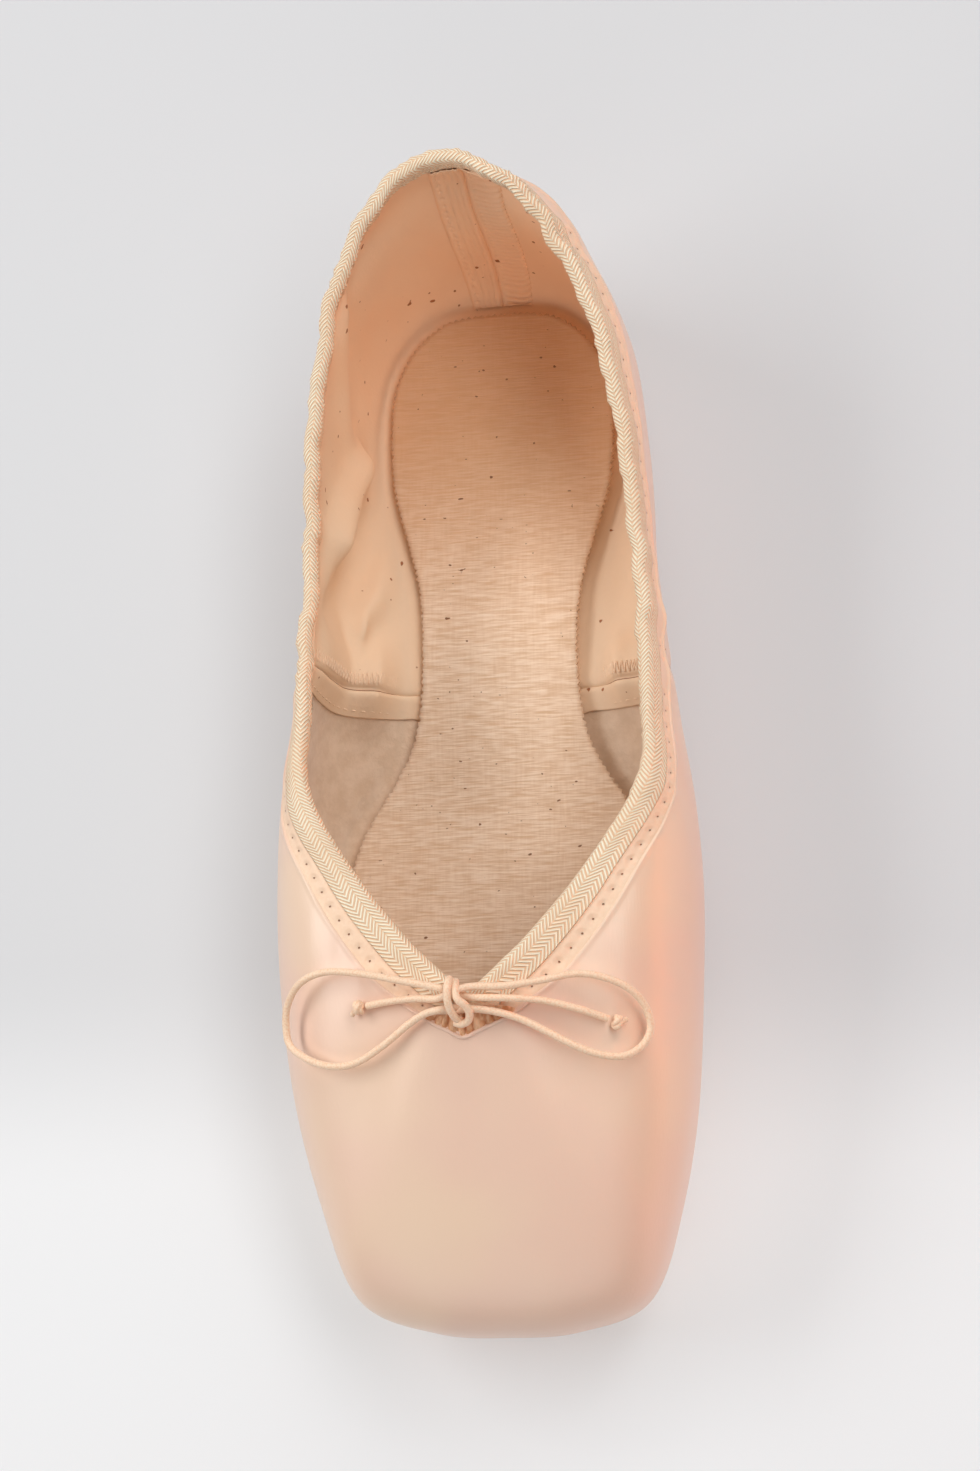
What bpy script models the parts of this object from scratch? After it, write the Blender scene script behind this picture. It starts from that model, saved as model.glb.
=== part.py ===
"""Pointe shoe, one of a pair that fits either foot, standing empty on its sole.

Metres, +Z up. The toe points to -Y and the heel to +Y. The origin is on the floor, in the
middle of the shoe. The upper is one hollow shell: columns run from its opening underneath,
round the foot of the wall, up to the widest line, over the shoulder and on to the collar.
"""

import math
from collections import namedtuple

import bmesh
import bpy
import numpy as np

# Driving sizes of the last
LENGTH = 0.240
BALL_WIDTH = 0.088
PLATFORM_WIDTH = 0.054
WAIST_WIDTH = 0.072
HEEL_WIDTH = 0.068
INSTEP_HEIGHT = 0.052
HEEL_HEIGHT = 0.061
ARCH_LIFT = 0.004
TOE_SPRING = 0.0035
TOE_SWING = 0.0024

# Thicknesses and clearances
QUARTER_WALL = 0.0016
BOX_WALL = 0.0030
SOLE_THICKNESS = 0.0026
SOLE_EDGE_BEVEL = 0.0007
INSOLE_THICKNESS = 0.0012
TAPE_THICKNESS = 0.0008
TAPE_OUTER_WIDTH = 0.0085
TAPE_INNER_WIDTH = 0.0070
CORD_DIAMETER = 0.0015
KNOT_WIDTH, KNOT_DEPTH, KNOT_THICK = 0.0064, 0.0068, 0.0036
END_KNOT_WIDTH = 0.0028
LASTING_MARGIN = 0.0090
INSOLE_MARGIN = 0.0015
TAPE_GAP = 0.0005
SEAT_GAP = 0.0004

# Heights at which the upper and the insole lie on what is under them
SEAT_Z = SOLE_THICKNESS + SEAT_GAP
INSOLE_Z = SEAT_Z + QUARTER_WALL + SEAT_GAP

# Where the sole leaves the floor for the arch and for the toe, where the toe starts to swing to
# the side, and where the wall thickens for the box, as shares of LENGTH from the heel's back
SEAT_END, ARCH_TOP, BALL_START, SPRING_START = 0.22, 0.38, 0.56, 0.80
SWING_START = 0.68
BOX_START, BOX_FULL = 0.60, 0.78

# Steps of the meshes
COLUMNS_PER_GUIDE = 3
FOOT_STEPS = 5
TOP_STEPS = 8
CUFF_STEPS = 3
DENSE_STEPS = 60
CORD_STEP = 0.0040
SHEET_RUNG_STEPS = 4
KNOT_SEGMENTS, KNOT_RINGS = 12, 8
EDGE_ANGLE = math.radians(50)
# The wall is thin in the lowest rows, in the cuff and one row below it
FLOOR_ROWS, COLLAR_ROWS = 3, CUFF_STEPS + 2

# One row for each guide column round half of the shoe, from the heel's back to the platform.
# side, collar_side, sole_side and insole_side are shares of half of width. along, collar_along,
# sole_along and insole_along are shares of LENGTH from the heel's back. wide, shoulder and
# collar_up are shares of height. square_top and square_foot are how boxy the two bends are.
Guide = namedtuple(
    "Guide",
    "name width side along height wide shoulder square_top"
    " collar_side collar_along collar_up square_foot"
    " sole_side sole_along insole_side insole_along",
)
GUIDES = (
    Guide("heel back", HEEL_WIDTH, 0.00, 0.010, HEEL_HEIGHT, 0.42, 0.86, 2.0,
          0.00, 0.000, 1.00, 2.2, 0.00, 0.056, 0.00, 0.053),
    Guide("heel corner", HEEL_WIDTH, 0.54, 0.034, HEEL_HEIGHT, 0.42, 0.85, 2.0,
          0.46, 0.023, 0.98, 2.2, 0.40, 0.070, 0.43, 0.064),
    Guide("heel side", HEEL_WIDTH, 0.89, 0.104, HEEL_HEIGHT, 0.39, 0.78, 2.0,
          0.82, 0.100, 0.89, 2.2, 0.62, 0.120, 0.71, 0.120),
    Guide("seat front", HEEL_WIDTH, 1.02, 0.220, HEEL_HEIGHT, 0.36, 0.67, 2.0,
          1.01, 0.220, 0.77, 2.2, 0.62, 0.215, 0.72, 0.220),
    Guide("waist", WAIST_WIDTH, 1.01, 0.345, INSTEP_HEIGHT, 0.38, 0.70, 2.0,
          0.99, 0.345, 0.80, 2.2, 0.44, 0.345, 0.49, 0.345),
    Guide("quarter", WAIST_WIDTH, 1.11, 0.465, INSTEP_HEIGHT, 0.40, 0.76, 2.0,
          1.01, 0.465, 0.82, 2.2, 0.54, 0.470, 0.53, 0.465),
    Guide("wing", BALL_WIDTH, 0.98, 0.555, INSTEP_HEIGHT, 0.42, 0.88, 2.1,
          0.79, 0.550, 0.87, 2.3, 0.62, 0.580, 0.72, 0.565),
    Guide("ball", BALL_WIDTH, 1.00, 0.650, INSTEP_HEIGHT, 0.42, 0.95, 2.3,
          0.54, 0.630, 0.93, 2.5, 0.68, 0.680, 0.82, 0.670),
    Guide("box side", BALL_WIDTH, 0.945, 0.790, INSTEP_HEIGHT, 0.38, 0.88, 2.7,
          0.31, 0.685, 0.97, 2.7, 0.62, 0.780, 0.78, 0.790),
    Guide("box edge", BALL_WIDTH, 0.825, 0.895, INSTEP_HEIGHT, 0.36, 0.77, 3.2,
          0.18, 0.710, 0.99, 3.0, 0.48, 0.850, 0.60, 0.865),
    Guide("box corner", BALL_WIDTH, 0.66, 0.971, INSTEP_HEIGHT, 0.35, 0.70, 3.8,
          0.10, 0.724, 1.00, 3.2, 0.28, 0.882, 0.38, 0.900),
    Guide("platform side", PLATFORM_WIDTH, 0.54, 0.996, INSTEP_HEIGHT, 0.35, 0.68, 4.4,
          0.08, 0.731, 1.00, 3.4, 0.22, 0.892, 0.26, 0.915),
    Guide("platform", PLATFORM_WIDTH, 0.00, 1.000, INSTEP_HEIGHT, 0.35, 0.67, 4.6,
          0.00, 0.734, 1.00, 3.6, 0.00, 0.895, 0.00, 0.920),
)

# Routes of the drawstring's bow over the vamp, laid by hand: X, Y and Z of the cord's middle
BOW_KNOT = (-0.0015, -0.0572, 0.0553)
LOOP_LEFT = (
    (-0.0048, -0.0552, 0.0555),
    (-0.0115, -0.0536, 0.0544),
    (-0.0210, -0.0514, 0.0528),
    (-0.0285, -0.0506, 0.0512),
    (-0.0340, -0.0522, 0.0488),
    (-0.0373, -0.0560, 0.0454),
    (-0.0380, -0.0603, 0.0434),
    (-0.0370, -0.0640, 0.0432),
    (-0.0325, -0.0672, 0.0456),
    (-0.0275, -0.0688, 0.0472),
    (-0.0225, -0.0684, 0.0484),
    (-0.0170, -0.0655, 0.0498),
    (-0.0115, -0.0616, 0.0513),
    (-0.0080, -0.0599, 0.0528),
    (-0.0048, -0.0593, 0.0540),
)
LOOP_RIGHT = (
    (0.0018, -0.0552, 0.0556),
    (0.0080, -0.0552, 0.0552),
    (0.0153, -0.0542, 0.0544),
    (0.0215, -0.0529, 0.0531),
    (0.0265, -0.0533, 0.0520),
    (0.0317, -0.0553, 0.0500),
    (0.0348, -0.0586, 0.0476),
    (0.0357, -0.0627, 0.0460),
    (0.0340, -0.0662, 0.0462),
    (0.0305, -0.0683, 0.0472),
    (0.0258, -0.0680, 0.0486),
    (0.0209, -0.0662, 0.0497),
    (0.0159, -0.0636, 0.0506),
    (0.0112, -0.0613, 0.0516),
    (0.0065, -0.0599, 0.0530),
    (0.0018, -0.0593, 0.0540),
)
END_LEFT = (
    (-0.0051, -0.0572, 0.0546),
    (-0.0100, -0.0568, 0.0532),
    (-0.0155, -0.0569, 0.0512),
    (-0.0201, -0.0574, 0.0500),
)
END_RIGHT = (
    (0.0021, -0.0572, 0.0548),
    (0.0080, -0.0574, 0.0543),
    (0.0149, -0.0577, 0.0524),
    (0.0220, -0.0593, 0.0503),
    (0.0276, -0.0610, 0.0479),
)
END_KNOT_LEFT = (-0.0218, -0.0577, 0.0499)
END_KNOT_RIGHT = (0.0293, -0.0616, 0.0473)


def smooth(share):
    """0 to 1 with no slope at either end."""
    share = np.clip(share, 0.0, 1.0)
    return share * share * (3.0 - 2.0 * share)


def along_to_y(along):
    """Y of a share of the length from the heel's back."""
    return LENGTH * (0.5 - along)


def floor_lift(y):
    """Height of the sole's underside above the floor at y."""
    along = 0.5 - y / LENGTH
    rise = smooth((along - SEAT_END) / (ARCH_TOP - SEAT_END))
    fall = smooth((BALL_START - along) / (BALL_START - ARCH_TOP))
    spring = np.clip((along - SPRING_START) / (1.0 - SPRING_START), 0.0, None) ** 2
    return ARCH_LIFT * np.minimum(rise, fall) + TOE_SPRING * spring


def toe_swing(y):
    """How far the toe stands over to +X at y, as the box was lasted."""
    along = 0.5 - y / LENGTH
    return TOE_SWING * smooth((along - SWING_START) / (1.0 - SWING_START))


def round_the_shoe(values, sign):
    """Half of the shoe's guide values made a smooth closed loop of columns.

    sign is -1 for a value that changes side with X and 1 for one that doesn't.
    """
    half = np.array(values, float)
    loop = np.concatenate([half, sign * half[-2:0:-1]])
    before, after, later = np.roll(loop, 1), np.roll(loop, -1), np.roll(loop, -2)
    found = []
    for step in range(COLUMNS_PER_GUIDE):
        t = step / COLUMNS_PER_GUIDE
        found.append(
            0.5
            * (
                2.0 * loop
                + (after - before) * t
                + (2.0 * before - 5.0 * loop + 4.0 * after - later) * t**2
                + (3.0 * loop - before - 3.0 * after + later) * t**3
            )
        )
    return np.stack(found, axis=1).ravel()


def plan_loop(side_name, along_name):
    """Closed outline in plan, an (n, 2) array, from two of the table's columns."""
    x = round_the_shoe([getattr(g, side_name) * g.width / 2 for g in GUIDES], -1)
    y = round_the_shoe([along_to_y(getattr(g, along_name)) for g in GUIDES], 1)
    return np.stack([x, y], axis=1)


def height_loop(name):
    """Closed loop of heights from one of the table's columns."""
    return round_the_shoe([getattr(g, name) * g.height for g in GUIDES], 1)


def inset(loop, distance):
    """The loop moved inwards. It runs from the heel by +X to the toe."""
    run = np.roll(loop, -1, axis=0) - np.roll(loop, 1, axis=0)
    inward = np.stack([run[:, 1], -run[:, 0]], axis=1)
    inward /= np.linalg.norm(inward, axis=1)[:, None]
    return loop + distance * inward


def placed(loop, z):
    """The plan loop at heights z, as 3D points with the toe's swing."""
    x, y = loop.T
    return np.column_stack([x + toe_swing(y), y, np.broadcast_to(z, x.shape)])


def lifted(loop, z):
    """The plan loop at height z above the sole's underside, as 3D points."""
    return placed(loop, z + floor_lift(loop[:, 1]))


def bend(start, corner, end, square):
    """Dense points of one bend from start past corner to end; a bigger square is boxier."""
    angle = np.linspace(0.0, math.pi / 2, DENSE_STEPS + 1)
    leave = 1.0 - np.sin(angle) ** (2.0 / square)
    arrive = 1.0 - np.cos(angle) ** (2.0 / square)
    return corner + np.outer(leave, start - corner) + np.outer(arrive, end - corner)


def thin_out(points, steps):
    """steps + 1 of the dense points, closer together where the line turns."""
    run = np.diff(points, axis=0)
    long = np.linalg.norm(run, axis=1)
    unit = run / np.maximum(long, 1e-9)[:, None]
    turn = np.arccos(np.clip((unit[1:] * unit[:-1]).sum(axis=1), -1.0, 1.0))
    turn = np.concatenate([[0.0], turn])
    share = 0.5 * long / long.sum() + 0.5 * turn / max(turn.sum(), 1e-9)
    at = np.concatenate([[0.0], np.cumsum(share)])
    wanted = np.linspace(0.0, at[-1], steps + 1)
    return np.stack([np.interp(wanted, at, points[:, k]) for k in range(3)], axis=1)


def run_lengths(points):
    """Length run from the first point to each point of a line."""
    return np.concatenate([[0.0], np.cumsum(np.linalg.norm(np.diff(points, axis=0), axis=1))])


def points_at(points, wanted):
    """Points of a line at the wanted lengths from its start."""
    run = run_lengths(points)
    return np.stack([np.interp(wanted, run, points[:, k]) for k in range(points.shape[1])], axis=1)


def split_cuff(points):
    """The line under the tape's outer edge, and CUFF_STEPS + 1 even points from there up."""
    run = run_lengths(points)
    edge = run[-1] - TAPE_OUTER_WIDTH
    cuff = points_at(points, np.linspace(edge, run[-1], CUFF_STEPS + 1))
    return np.concatenate([points[run < edge], cuff[:1]]), cuff


def upper_columns():
    """The upper's outer face as an array of columns, rows and XYZ, from underneath to the collar."""
    wide_plan = plan_loop("side", "along")
    insole_plan = plan_loop("insole_side", "insole_along")
    opening = lifted(inset(plan_loop("sole_side", "sole_along"), LASTING_MARGIN), SEAT_Z)
    flat = lifted(inset(insole_plan, -INSOLE_MARGIN), SEAT_Z)
    foot = lifted(wide_plan, SEAT_Z)
    wide = placed(wide_plan, height_loop("wide"))
    shoulder = placed(wide_plan, height_loop("shoulder"))
    collar = placed(plan_loop("collar_side", "collar_along"), height_loop("collar_up"))
    square_top = round_the_shoe([g.square_top for g in GUIDES], 1)
    square_foot = round_the_shoe([g.square_foot for g in GUIDES], 1)
    columns = []
    for j in range(len(wide_plan)):
        low = bend(flat[j], foot[j], wide[j], square_foot[j])
        high, cuff = split_cuff(bend(wide[j], shoulder[j], collar[j], square_top[j]))
        foot_rows, top_rows = thin_out(low, FOOT_STEPS), thin_out(high, TOP_STEPS)
        columns.append(np.concatenate([opening[j : j + 1], foot_rows[:-1], top_rows[:-1], cuff]))
    return np.array(columns)


def grid_normals(grid):
    """Outward unit normals of a grid of columns that closes on itself."""
    across = np.roll(grid, -1, axis=0) - np.roll(grid, 1, axis=0)
    up = np.gradient(grid, axis=1)
    normals = np.cross(up, across)
    return normals / np.linalg.norm(normals, axis=2)[:, :, None]


def clear_scene():
    """Starts from an empty scene."""
    for old in list(bpy.data.objects):
        bpy.data.objects.remove(old)


def new_collection(name):
    """A collection of the scene."""
    made = bpy.data.collections.new(name)
    bpy.context.scene.collection.children.link(made)
    return made


def finish_material(name, colour, roughness):
    """A plain Principled material."""
    made = bpy.data.materials.new(name)
    made.use_nodes = True
    shader = made.node_tree.nodes["Principled BSDF"]
    shader.inputs["Base Color"].default_value = (*colour, 1.0)
    shader.inputs["Roughness"].default_value = roughness
    shader.inputs["Metallic"].default_value = 0.0
    return made


def add_mesh(name, points, faces, material, collection):
    """A smooth mesh object from points and faces."""
    mesh = bpy.data.meshes.new(name)
    mesh.from_pydata([tuple(p) for p in points], [], faces)
    mesh.materials.append(material)
    mesh.shade_smooth()
    made = bpy.data.objects.new(name, mesh)
    collection.objects.link(made)
    return made


def loft_closed(name, grid, material, collection):
    """An open band of quads from a grid of columns that closes on itself."""
    columns, rows = grid.shape[:2]
    faces = [
        (
            j * rows + i,
            j * rows + i + 1,
            (j + 1) % columns * rows + i + 1,
            (j + 1) % columns * rows + i,
        )
        for j in range(columns)
        for i in range(rows - 1)
    ]
    return add_mesh(name, grid.reshape(-1, 3), faces, material, collection)


def loft_ladder(name, loop, material, collection):
    """A sheet between the two sides of a loop that is the same on both, as rungs of a ladder."""
    half, across = len(loop) // 2, SHEET_RUNG_STEPS
    points, rungs = [], []
    for j in range(half + 1):
        left, right = loop[-j], loop[j]
        if j in (0, half):
            rungs.append([len(points)] * (across + 1))
            points.append(left)
            continue
        rungs.append(list(range(len(points), len(points) + across + 1)))
        points += [left + (right - left) * k / across for k in range(across + 1)]
    faces = []
    for low, high in zip(rungs, rungs[1:]):
        for k in range(across):
            corners = (low[k], low[k + 1], high[k + 1], high[k])
            faces.append(tuple(dict.fromkeys(corners)))
    return add_mesh(name, points, faces, material, collection)


def face_up(made):
    """Turns a sheet's faces so that they look up."""
    work = bmesh.new()
    work.from_mesh(made.data)
    down = [f for f in work.faces if f.normal.z < 0.0]
    bmesh.ops.reverse_faces(work, faces=down)
    work.to_mesh(made.data)
    work.free()


def thicken(made, thickness, offset):
    """Gives a sheet its thickness: offset -1 is against its normals and 1 along them."""
    solid = made.modifiers.new("wall", "SOLIDIFY")
    solid.thickness = thickness
    solid.offset = offset
    solid.use_even_offset = True
    return solid


def build_upper(grid, material, collection):
    """The satin upper with its wall, thicker round the box than at the quarters."""
    made = loft_closed("upper", grid, material, collection)
    wall = made.vertex_groups.new(name="wall")
    along = 0.5 - grid[:, :, 1] / LENGTH
    box = smooth((along - BOX_START) / (BOX_FULL - BOX_START))
    box[:, :FLOOR_ROWS] = 0.0
    box[:, -COLLAR_ROWS:] = 0.0
    for index, share in enumerate(box.ravel()):
        thickness = QUARTER_WALL + (BOX_WALL - QUARTER_WALL) * share
        wall.add([index], thickness / BOX_WALL, "REPLACE")
    solid = thicken(made, BOX_WALL, -1.0)
    solid.vertex_group = "wall"
    return made


def tape_sections(grid):
    """The casing's sections: up the outer face, over the rim and down the lining."""
    normals = grid_normals(grid)
    cuff = slice(-CUFF_STEPS - 1, None)
    up = grid[:, -1] - grid[:, -2]
    up *= TAPE_GAP / np.linalg.norm(up, axis=1)[:, None]
    outer = grid[:, cuff] + TAPE_GAP * normals[:, cuff]
    inner = grid[:, cuff] - (QUARTER_WALL + TAPE_GAP) * normals[:, cuff]
    down = np.array([0.0, 0.5, 1.0]) * TAPE_INNER_WIDTH
    sections = []
    for j in range(len(grid)):
        inside = points_at(inner[j][::-1], down)
        outside = outer[j].copy()
        outside[-1] += up[j]
        inside[0] += up[j]
        sections.append(np.concatenate([outside, inside]))
    return np.array(sections)


def build_collar_tape(grid, material, collection):
    """The cotton tape folded over the collar, which is the casing of the drawstring."""
    made = loft_closed("collar_tape", tape_sections(grid), material, collection)
    thicken(made, TAPE_THICKNESS, 1.0)
    return made


def build_outsole(material, collection):
    """The leather outsole under the lasting margin."""
    loop = lifted(plan_loop("sole_side", "sole_along"), 0.0)
    made = loft_ladder("outsole", loop, material, collection)
    face_up(made)
    thicken(made, SOLE_THICKNESS, 1.0)
    edge = made.modifiers.new("edge", "BEVEL")
    edge.width = SOLE_EDGE_BEVEL
    edge.segments = 2
    edge.limit_method = "ANGLE"
    edge.angle_limit = EDGE_ANGLE
    return made


def build_insole(material, collection):
    """The canvas insole on the lasting margin."""
    loop = lifted(plan_loop("insole_side", "insole_along"), INSOLE_Z)
    made = loft_ladder("insole", loop, material, collection)
    face_up(made)
    thicken(made, INSOLE_THICKNESS, 1.0)
    return made


def smooth_route(route):
    """Dense points of one smooth curve through a route's points."""
    laid = np.array(route)
    ends = (2.0 * laid[:1] - laid[1:2], laid, 2.0 * laid[-1:] - laid[-2:-1])
    before, here, after, later = (np.concatenate(ends)[k : len(laid) - 1 + k] for k in range(4))
    t = np.linspace(0.0, 1.0, DENSE_STEPS, endpoint=False)[None, :, None]
    before, here, after, later = (p[:, None, :] for p in (before, here, after, later))
    dense = 0.5 * (
        2.0 * here
        + (after - before) * t
        + (2.0 * before - 5.0 * here + 4.0 * after - later) * t**2
        + (3.0 * here - before - 3.0 * after + later) * t**3
    )
    return np.concatenate([dense.reshape(-1, 3), laid[-1:]])


def build_cord(name, route, material, collection):
    """A stretch of the drawstring as a tube along its route."""
    dense = smooth_route(route)
    length = run_lengths(dense)[-1]
    points = points_at(dense, np.linspace(0.0, length, max(2, round(length / CORD_STEP)) + 1))
    curve = bpy.data.curves.new(name, "CURVE")
    curve.dimensions = "3D"
    curve.bevel_depth = CORD_DIAMETER / 2
    curve.bevel_resolution = 2
    curve.use_fill_caps = True
    curve.materials.append(material)
    spline = curve.splines.new("POLY")
    spline.points.add(len(points) - 1)
    for laid, point in zip(spline.points, points):
        laid.co = (*point, 1.0)
    made = bpy.data.objects.new(name, curve)
    collection.objects.link(made)
    return made


def build_knot(name, centre, size, material, collection):
    """A knot of the drawstring as a smooth bead."""
    ball = bmesh.new()
    rounds = {"u_segments": KNOT_SEGMENTS, "v_segments": KNOT_RINGS}
    bmesh.ops.create_uvsphere(ball, radius=0.5, **rounds)
    bmesh.ops.scale(ball, vec=size, verts=ball.verts)
    mesh = bpy.data.meshes.new(name)
    ball.to_mesh(mesh)
    ball.free()
    mesh.materials.append(material)
    mesh.shade_smooth()
    made = bpy.data.objects.new(name, mesh)
    made.location = centre
    collection.objects.link(made)
    return made


def build_bow(material, collection):
    """The drawstring's bow, whose two ends are knotted."""
    build_knot("bow_knot", BOW_KNOT, (KNOT_WIDTH, KNOT_DEPTH, KNOT_THICK), material, collection)
    build_cord("bow_loop_left", LOOP_LEFT, material, collection)
    build_cord("bow_loop_right", LOOP_RIGHT, material, collection)
    build_cord("cord_end_left", END_LEFT, material, collection)
    build_cord("cord_end_right", END_RIGHT, material, collection)
    round_size = (END_KNOT_WIDTH,) * 3
    build_knot("end_knot_left", END_KNOT_LEFT, round_size, material, collection)
    build_knot("end_knot_right", END_KNOT_RIGHT, round_size, material, collection)


def main():
    """Builds the shoe."""
    clear_scene()
    shoe = new_collection("pointe_shoe")
    satin = finish_material("peach_satin", (0.80, 0.56, 0.42), 0.45)
    leather = finish_material("sole_leather", (0.62, 0.45, 0.33), 0.70)
    canvas = finish_material("beige_canvas", (0.60, 0.42, 0.29), 0.85)
    cotton = finish_material("cotton_tape", (0.82, 0.60, 0.43), 0.80)
    cord = finish_material("elastic_cord", (0.84, 0.60, 0.48), 0.60)
    grid = upper_columns()
    build_upper(grid, satin, shoe)
    build_outsole(leather, shoe)
    build_insole(canvas, shoe)
    build_collar_tape(grid, cotton, shoe)
    build_bow(cord, shoe)


main()
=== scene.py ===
"""Pointe shoe, one of a pair that fits either foot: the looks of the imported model.

Metres, +Z up. The toe points to -Y and the heel to +Y, and the origin is on the floor in the
middle of the shoe. Places on the upper are given by how far round the shoe they are, counted in
guide columns from the heel's back by +X, and by how far down from the collar they are.
"""

import logging
import math
from dataclasses import dataclass
from enum import Enum
from typing import Any, NamedTuple

import bmesh
import bpy
import numpy as np
from mathutils import Matrix, Vector
from numpy.typing import NDArray


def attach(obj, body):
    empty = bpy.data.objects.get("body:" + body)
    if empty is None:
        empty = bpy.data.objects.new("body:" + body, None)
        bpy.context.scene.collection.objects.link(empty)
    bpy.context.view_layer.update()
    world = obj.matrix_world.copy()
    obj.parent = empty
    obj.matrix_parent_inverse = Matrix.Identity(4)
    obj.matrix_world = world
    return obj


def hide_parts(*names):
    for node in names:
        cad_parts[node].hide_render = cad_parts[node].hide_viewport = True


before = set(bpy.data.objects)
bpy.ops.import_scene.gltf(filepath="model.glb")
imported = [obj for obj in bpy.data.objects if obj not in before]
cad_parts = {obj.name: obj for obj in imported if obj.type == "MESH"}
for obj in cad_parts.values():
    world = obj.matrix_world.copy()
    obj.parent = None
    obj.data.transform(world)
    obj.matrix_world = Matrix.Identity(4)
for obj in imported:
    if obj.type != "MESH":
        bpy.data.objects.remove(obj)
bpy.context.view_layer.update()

Array = NDArray[np.float64]
Material, Tree, Socket = bpy.types.Material, bpy.types.NodeTree, bpy.types.NodeSocket
# A shape's points and faces
Shape = tuple[Array, list[tuple[int, ...]]]
LOG = logging.getLogger("pointe_shoe")

MM = 0.001
BODY = "root"

# Driving sizes of the last, as in the part's source
LENGTH = 0.240
BALL_WIDTH = 0.088
PLATFORM_WIDTH = 0.054
WAIST_WIDTH = 0.072
HEEL_WIDTH = 0.068
INSTEP_HEIGHT = 0.052
HEEL_HEIGHT = 0.061
ARCH_LIFT = 0.004
TOE_SPRING = 0.0035
TOE_SWING = 0.0024

# Thicknesses and clearances, as in the part's source
QUARTER_WALL = 0.0016
BOX_WALL = 0.0030
SOLE_THICKNESS = 0.0026
INSOLE_THICKNESS = 0.0012
TAPE_OUTER_WIDTH = 0.0085
CORD_DIAMETER = 0.0015
LASTING_MARGIN = 0.0090
INSOLE_MARGIN = 0.0015
SEAT_GAP = 0.0004
SEAT_Z = SOLE_THICKNESS + SEAT_GAP
INSOLE_Z = SEAT_Z + QUARTER_WALL + SEAT_GAP

# Shares of LENGTH from the heel's back, as in the part's source
SEAT_END, ARCH_TOP, BALL_START, SPRING_START = 0.22, 0.38, 0.56, 0.80
SWING_START = 0.68
BOX_START, BOX_FULL = 0.60, 0.78

# Steps of the fine meshes
COLUMNS_PER_GUIDE = 20
BEND_STEPS = 90
ROUTE_STEPS = 24
MARGIN_STEPS = 8
# The name of the map that carries a sheet's lengths along and across its cloth
CLOTH_MAP = "cloth"
# A direction that no tube sets off in, from which its first ring is turned
OFF_AXIS = (0.123, 0.456, 0.881)


class Guide(NamedTuple):
    """One guide column of the last, in shares of its width, of LENGTH and of its height."""

    name: str
    width: float
    side: float
    along: float
    height: float
    wide: float
    shoulder: float
    square_top: float
    collar_side: float
    collar_along: float
    collar_up: float
    square_foot: float
    sole_side: float
    sole_along: float
    insole_side: float
    insole_along: float


GUIDES = (
    Guide("heel back", HEEL_WIDTH, 0.00, 0.010, HEEL_HEIGHT, 0.42, 0.86, 2.0,
          0.00, 0.000, 1.00, 2.2, 0.00, 0.056, 0.00, 0.053),
    Guide("heel corner", HEEL_WIDTH, 0.54, 0.034, HEEL_HEIGHT, 0.42, 0.85, 2.0,
          0.46, 0.023, 0.98, 2.2, 0.40, 0.070, 0.43, 0.064),
    Guide("heel side", HEEL_WIDTH, 0.89, 0.104, HEEL_HEIGHT, 0.39, 0.78, 2.0,
          0.82, 0.100, 0.89, 2.2, 0.62, 0.120, 0.71, 0.120),
    Guide("seat front", HEEL_WIDTH, 1.02, 0.220, HEEL_HEIGHT, 0.36, 0.67, 2.0,
          1.01, 0.220, 0.77, 2.2, 0.62, 0.215, 0.72, 0.220),
    Guide("waist", WAIST_WIDTH, 1.01, 0.345, INSTEP_HEIGHT, 0.38, 0.70, 2.0,
          0.99, 0.345, 0.80, 2.2, 0.44, 0.345, 0.49, 0.345),
    Guide("quarter", WAIST_WIDTH, 1.11, 0.465, INSTEP_HEIGHT, 0.40, 0.76, 2.0,
          1.01, 0.465, 0.82, 2.2, 0.54, 0.470, 0.53, 0.465),
    Guide("wing", BALL_WIDTH, 0.98, 0.555, INSTEP_HEIGHT, 0.42, 0.88, 2.1,
          0.79, 0.550, 0.87, 2.3, 0.62, 0.580, 0.72, 0.565),
    Guide("ball", BALL_WIDTH, 1.00, 0.650, INSTEP_HEIGHT, 0.42, 0.95, 2.3,
          0.54, 0.630, 0.93, 2.5, 0.68, 0.680, 0.82, 0.670),
    Guide("box side", BALL_WIDTH, 0.945, 0.790, INSTEP_HEIGHT, 0.38, 0.88, 2.7,
          0.31, 0.685, 0.97, 2.7, 0.62, 0.780, 0.78, 0.790),
    Guide("box edge", BALL_WIDTH, 0.825, 0.895, INSTEP_HEIGHT, 0.36, 0.77, 3.2,
          0.18, 0.710, 0.99, 3.0, 0.48, 0.850, 0.60, 0.865),
    Guide("box corner", BALL_WIDTH, 0.66, 0.971, INSTEP_HEIGHT, 0.35, 0.70, 3.8,
          0.10, 0.724, 1.00, 3.2, 0.28, 0.882, 0.38, 0.900),
    Guide("platform side", PLATFORM_WIDTH, 0.54, 0.996, INSTEP_HEIGHT, 0.35, 0.68, 4.4,
          0.08, 0.731, 1.00, 3.4, 0.22, 0.892, 0.26, 0.915),
    Guide("platform", PLATFORM_WIDTH, 0.00, 1.000, INSTEP_HEIGHT, 0.35, 0.67, 4.6,
          0.00, 0.734, 1.00, 3.6, 0.00, 0.895, 0.00, 0.920),
)
GUIDES_ROUND = 2 * (len(GUIDES) - 1)
TOE = len(GUIDES) - 1

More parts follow.
